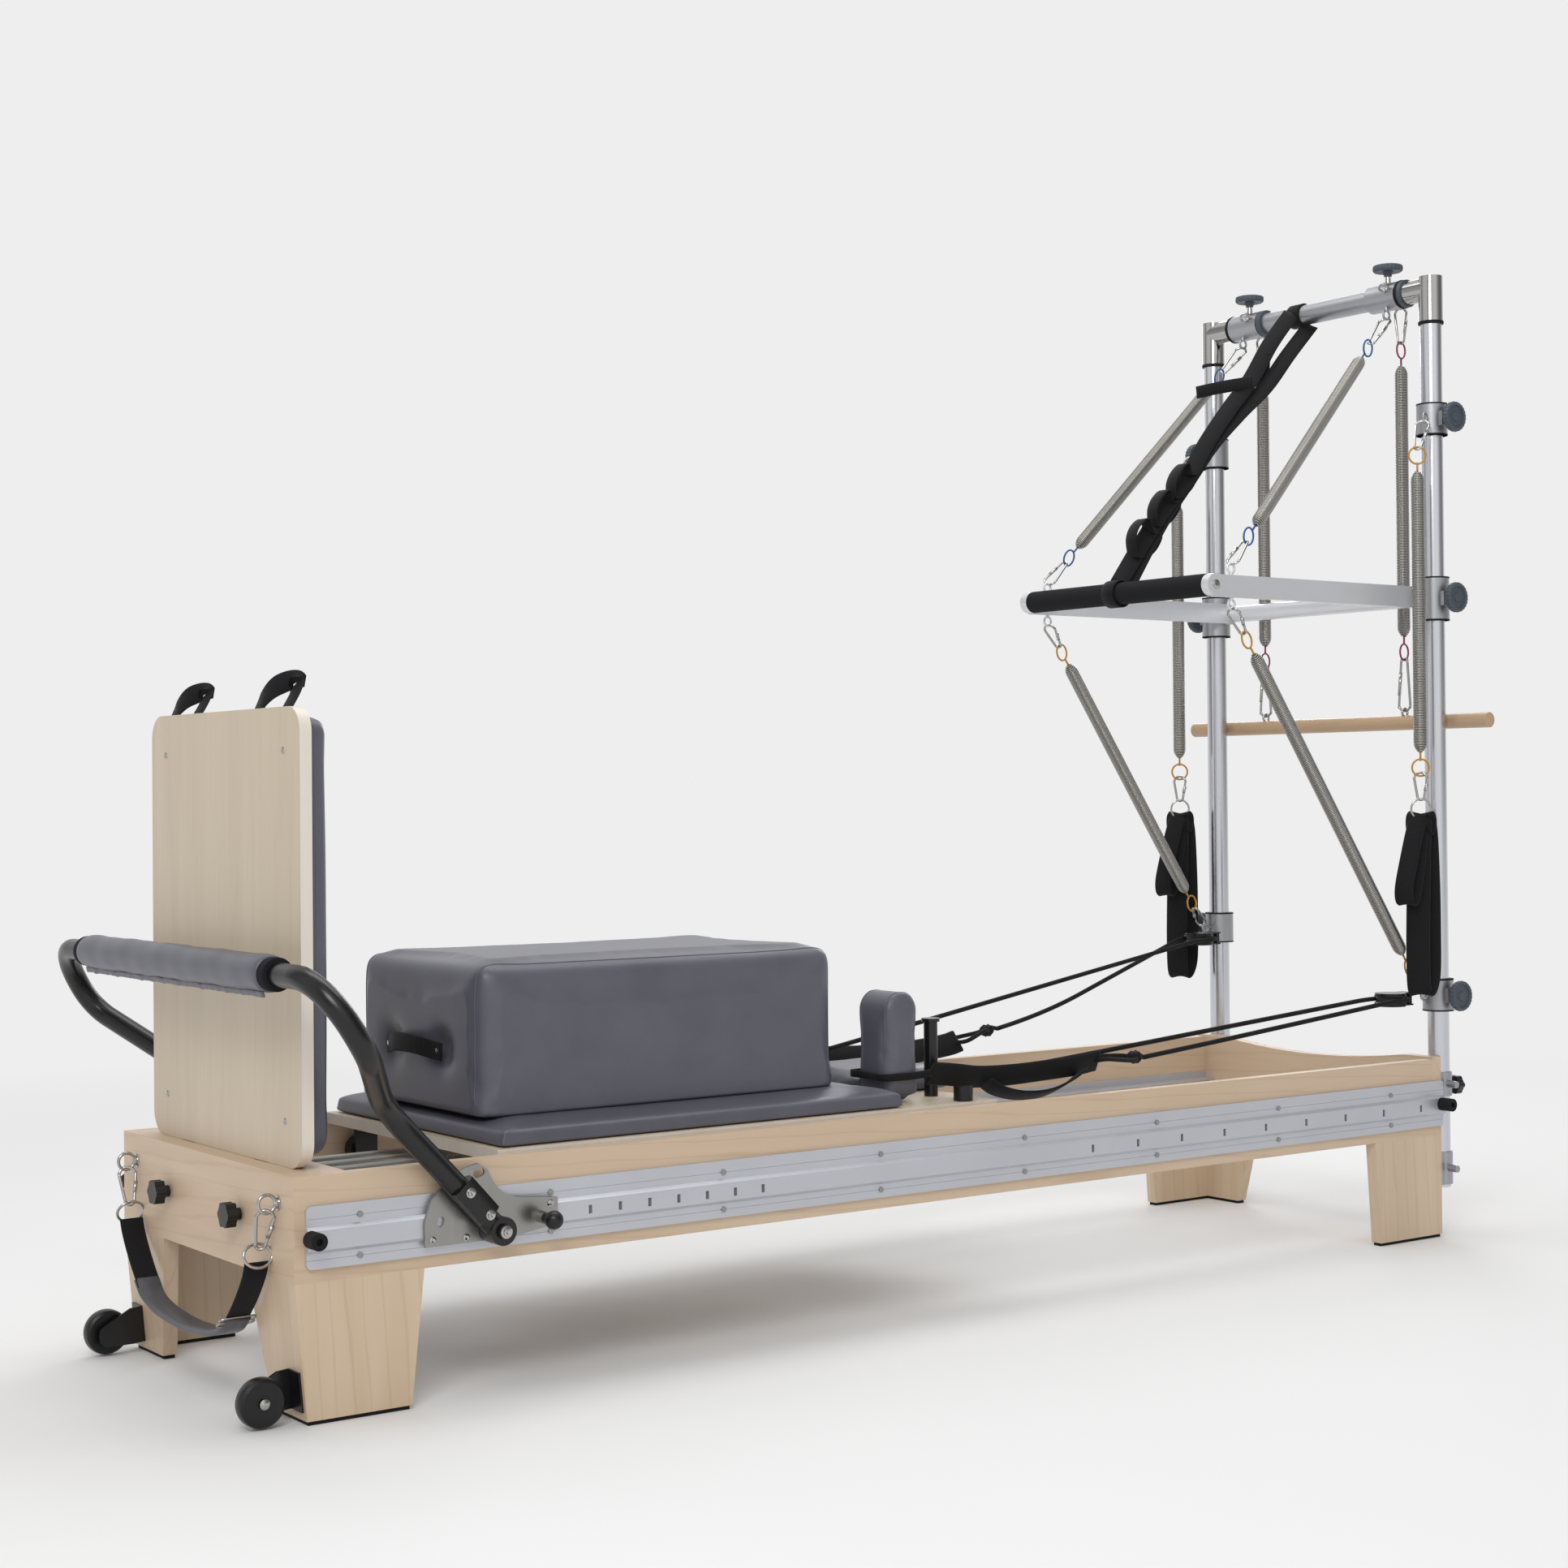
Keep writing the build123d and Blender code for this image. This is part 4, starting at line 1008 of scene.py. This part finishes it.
def make_knob(node, body, face, axis, neck):
    """Round fluted knob with a hollow top, and its neck."""
    axis = Vector(axis)
    profile = [(0.012, -0.0125), (0.027, -0.0135), (0.0295, -0.011), (0.030, -0.008), (0.030, -0.004),
               (0.0288, -0.001),
               (0.0255, 0.0), (0.0225, -0.0012), (0.0215, -0.004), (0.010, -0.004), (0.009, -0.0018),
               (0.0005, -0.0012)]
    head = lathe(f"{node}_head", profile, face, axis, SLATE, body, 144, 24, 0.0014)
    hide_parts(node)
    lathe(f"{node}_neck", [(0.0105, -0.0125), (0.0095, -0.018), (0.008, -0.0125 - neck * 0.7),
                           (0.008, -0.0125 - neck)],
          face, axis, SLATE, body, 32)
    lathe(f"{node}_pin", [(0.004, -0.0125 - neck), (0.004, -0.0155 - neck), (0.0059, -0.016 - neck),
                          (0.0059, -0.028 - neck)],
          face, axis, CHROME, body, 24)


def make_knobs():
    for side, sign in SIDES.items():
        for level in ("upper", "mid", "lower"):
            node = f"{side}_{level}_knob"
            low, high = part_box(node)
            face = Vector(((low[0] + high[0]) / 2, high[1] if sign > 0 else low[1], (low[2] + high[2]) / 2))
            make_knob(node, node, face, (0, sign, 0), 0.006)
        node = f"{side}_crossbar_knob"
        low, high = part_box(node)
        make_knob(node, node, Vector(((low[0] + high[0]) / 2, (low[1] + high[1]) / 2, high[2])), (0, 0, 1),
                  0.010)


def make_gaskets():
    """Dark rings at the ends of the collars and the elbows' mouths."""
    def band(name, origin, axis, radius, bore, body, width=0.003):
        profile = [(bore, 0), (radius, 0), (radius + 0.0006, width / 2), (radius, width), (bore, width)]
        lathe(name, profile, origin, axis, RUBBER, body, 48)
    levels = {"upper": (1614, 64), "mid": (MID_Z - 4, 87), "lower": (None, 64)}
    for side, sign in SIDES.items():
        for level, (z, height) in levels.items():
            z = z or LOWER_Z[side]
            body = "mid_collars" if level == "mid" else f"{side}_{level}_collar"
            for end in (-1, 1):
                origin = at(POST_X, sign * POST_Y, z + end * (height / 2 - 1.5) - 1.5)
                band(f"{side}_{level}_gasket_{'top' if end > 0 else 'low'}", origin, (0, 0, 1), 0.0302,
                     0.022, body)
        band(f"{side}_elbow_gasket", at(POST_X, sign * POST_Y, 1804), (0, 0, 1), 0.0245, 0.0212, "frame",
             0.006)
        slate, black = (-242, -233) if side == "near" else (137, 229)
        profile = [(0.0212, 0), (0.026, 0), (0.0278, 0.001), (0.0278, 0.0115), (0.0265, 0.0125),
                   (0.0212, 0.0125)]
        lathe(f"{side}_slate_ring", profile, at(POST_X, slate, TOP_Z), (0, 1, 0), SLATE, "frame", 48)
        band(f"{side}_crossbar_gasket", at(POST_X, black, TOP_Z), (0, 1, 0), 0.0285, 0.0212, "frame", 0.007)
        eye = at(POST_X - 36, sign * 190 - 20, TOP_Z + 14)
        ring(f"{side}_collar_eye", eye, (0.3, 0.5, 0.6), 0.0095, 0.0024, CHROME, "frame")
        root = at(POST_X - 24, sign * 190 - 20, TOP_Z + 8)
        tube(f"{side}_collar_eye_stem", [root, root.lerp(eye, 0.3), root.lerp(eye, 0.6)], 0.0035, CHROME,
             "frame", 12)
    for side, sign in SIDES.items():
        for x in (-8, 8):
            lathe(f"{side}_housing_screw_{'a' if x < 0 else 'b'}",
                  [(0.0045, 0), (0.0045, 0.002), (0.002, 0.0026)],
                  at(POST_X + x, sign * (POST_Y + 36), 1267), (0, sign, 0), BLACK_PLASTIC,
                  "mid_collars", 20)


def make_push_grip():
    """Foam grip on the push-through bar with its end caps' screws."""
    profile = [(0.0208, 0), (0.0214, 0.0006), (0.0216, 0.004), (0.0216, 0.488), (0.0214, 0.4914),
               (0.0208, 0.492)]
    lathe("push_bar_foam", profile, at(PUSH_X, -246, MID_Z + 4), (0, 1, 0), FOAM, "push_bar", 48)
    for side, sign in SIDES.items():
        profile = [(0.0085, 0), (0.0085, 0.0022), (0.0070, 0.0032), (0.0035, 0.0034), (0.0032, 0.0018),
                   (0.0004, 0.0018)]
        lathe(f"{side}_push_cap_screw", profile, at(PUSH_X, sign * 264, MID_Z + 4), (0, sign, 0), CHROME,
              "push_bar", 32)


def make_wheels():
    """Transport wheels: rubber tyre, hub with spokes and axle bolt."""
    for side, sign in SIDES.items():
        origin = at(-40.7, sign * 294.6, 37.5)
        tyre = [(0.022, -0.0105), (0.030, -0.0118), (0.0340, -0.0095), (0.0353, -0.005), (0.0353, 0.005),
                (0.0340, 0.0095),
                (0.030, 0.0118), (0.022, 0.0105)]
        wheel = lathe(f"{side}_wheel_tyre", tyre, origin, (0, 1, 0), BLACK_PLASTIC, "transport_wheels", 72)
        if side == "near":
            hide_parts("transport_wheels")
        hub = [(0.0055, -0.0112), (0.011, -0.0112), (0.0125, -0.009), (0.0205, -0.008), (0.0222, -0.0105),
               (0.0222, 0.0105),
               (0.0205, 0.008), (0.0125, 0.009), (0.011, 0.0112), (0.0055, 0.0112)]
        lathe(f"{side}_wheel_hub", hub, origin, (0, 1, 0), BLACK_STEEL, "transport_wheels", 72, 5, 0.0015)
        bolt = [(0.0052, 0.0), (0.0075, 0.0005), (0.0075, 0.003), (0.0045, 0.0048), (0.0004, 0.005)]
        face = origin + Vector((0, -0.0125, 0))
        lathe(f"{side}_axle_bolt", bolt, face, (0, -1, 0), CHROME, "frame", 24)


def make_eyebolts():
    for side, sign in SIDES.items():
        washer = [(0.0032, 0), (0.011, 0), (0.0112, 0.001), (0.0105, 0.0016), (0.0032, 0.0018)]
        lathe(f"{side}_eye_washer", washer, at(0, sign * 266, 308), (-1, 0, 0), CHROME, "frame", 32)


def make_pivots():
    """Washer and screw on each footbar pivot, and the screws of the side plates."""
    for side, sign in SIDES.items():
        screw = [(0.0095, 0), (0.0095, 0.0015), (0.0062, 0.0022), (0.0058, 0.0045), (0.003, 0.0048),
                 (0.0004, 0.0030)]
        lathe(f"{side}_pivot_screw", screw, at(304, sign * 381, 249.5), (0, sign, 0), CHROME,
              "footbar_slider", 28)
        for k, (x, z) in enumerate(((207, 242), (262, 240), (404, 276))):
            head = [(0.0055, 0), (0.0055, 0.0012), (0.0035, 0.0024), (0.0012, 0.0018), (0.0004, 0.0012)]
            lathe(f"{side}_plate_screw_{k}", head, at(x, sign * 337.6, z), (0, sign, 0), CHROME,
                  "footbar_slider", 24)


def make_arm_clamps():
    """Clamp plate with two bolts on the lower part of each footbar arm."""
    upper, lower = (238, 322), (282, 274)
    for side, sign in SIDES.items():
        start, end = (at(x, sign * 358, z) for x, z in (upper, lower))
        way = (end - start).normalized()
        across = Vector((-way.z, 0, way.x))
        flip = -1 if way.cross(across).y * sign < 0 else 1
        half = [(0.017, 0.0), (0.0195, 0.009), (0.0185, 0.0175), (0.012, 0.0205)]
        section = [(u, flip * v) for u, v in half] + [(-u, flip * v) for u, v in half[::-1]]
        rows = [start + way * (end - start).length * k / 6 for k in range(7)]
        clamp = mesh_object(f"{side}_arm_clamp", *sweep(rows, section, across), BLACK_STEEL, "footbar")
        crisp(clamp, 50)
        for k, share in enumerate((0.22, 0.95)):
            head = [(0.0075, 0), (0.0075, 0.001), (0.0058, 0.0014), (0.0056, 0.0045), (0.0030, 0.0052),
                    (0.0004, 0.0034)]
            place = start.lerp(end, share) + Vector((0, sign * 0.0203, 0))
            lathe(f"{side}_clamp_bolt_{k}", head, place, (0, sign, 0), CHROME, "footbar", 24)


# ------------------------------------------------------------------ CAD nodes

NODE_LOOKS = {
    "frame_boards": (MAPLE_X, 0.0012), "legs": (MAPLE_Z, 0.0012), "rubber_feet": (RUBBER, 0.0008),
    "side_rails": (RAIL, 0.0006), "rail_screws": (STAINLESS, 0.0006), "spring_bar": (BLACK_STEEL, 0.0006),
    "foot_fittings": (BLACK_STEEL, 0.0006), "tower_frame": (TUBE, 0.0008),
    "post_brackets": (COLLAR, 0.0012),
    "crossbar_collars": (COLLAR, 0.0006), "mid_collars": (COLLAR, 0.0006), "push_bar": (BAR, 0.0006),
    "roll_down_bar": (DOWEL, 0.003), "carriage_deck": (MAPLE_X, 0.001),
    "carriage_fittings": (BLACK_STEEL, 0.001),
    "front_rollers": (BLACK_PLASTIC, 0.001), "rear_rollers": (BLACK_PLASTIC, 0.001),
    "deck_knob": (BLACK_PLASTIC, 0.002),
    "footbar_plates": (STAINLESS, 0.0008), "footbar_tube": (BLACK_STEEL, 0.0008),
    "jump_board": (LAMINATE, 0.0008),
}
SIDE_LOOKS = {
    "upper_collar": (COLLAR, 0.0006), "lower_collar": (COLLAR, 0.0006),
    "tower_knob": (BLACK_PLASTIC, 0.001),
    "pulley": (BLACK_STEEL, 0.0008), "sheave": (BLACK_PLASTIC, 0.0006), "lock_pin": (BLACK_PLASTIC, 0.0006),
    "foot_knob": (BLACK_PLASTIC, 0.001),
}


def dress_nodes():
    looks = dict(NODE_LOOKS)
    for side in SIDES:
        looks.update({f"{side}_{node}": look for node, look in SIDE_LOOKS.items()})
    for node, (material, width) in looks.items():
        piece = NODES[node]
        piece.data.materials.clear()
        piece.data.materials.append(material)
        bevel(piece, width)


def dress_parts(node, choose):
    """Gives faces one of several materials; choose takes a face's centre in mm from the foot end."""
    piece = NODES[node]
    materials = [piece.data.materials[0]]
    for polygon in piece.data.polygons:
        centre = (polygon.center - Vector((FOOT, 0, 0))) * 1000
        material = choose(centre, polygon.normal)
        if material not in materials:
            materials.append(material)
            piece.data.materials.append(material)
        polygon.material_index = materials.index(material)


def dress_details():
    dress_parts("frame_boards", lambda c,
                n: MAPLE_Y if c.x < 89 and abs(c.y) < 299.9 or c.x > 2414 else MAPLE_X)
    dress_parts("jump_board", lambda c, n: LAMINATE if abs(n.x) > 0.7 else EDGE)
    dress_parts("carriage_deck", lambda c, n: LAMINATE if n.z > 0.7 else EDGE)
    dress_parts("footbar_plates", lambda c, n: BLACK_STEEL if abs(c.y) > 339 and c.x < 350 else STAINLESS)
    dress_parts("tower_frame", lambda c,
                n: CHROME if c.z > 1807 and abs(c.y) > 239 else COLLAR if c.z > 1807 else TUBE)
    dress_parts("foot_fittings", lambda c, n: CHROME if c.z > 250 else BLACK_STEEL)
    dress_parts("roll_down_bar", lambda c, n: CHROME if c.z > 1031.3 else DOWEL)


# ------------------------------------------------------------------ scene

make_camera()
for rope_side in SIDES:
    make_rope(rope_side)
    make_hand_strap(rope_side)
make_studio()
dress_nodes()
dress_details()
make_soft_goods()
make_box_handle()
make_footbar_sleeve()
make_jump_loops()
make_sling()
make_springs()
make_ladder_strap()
make_knobs()
make_gaskets()
make_push_grip()
make_wheels()
make_eyebolts()
make_pivots()
make_arm_clamps()
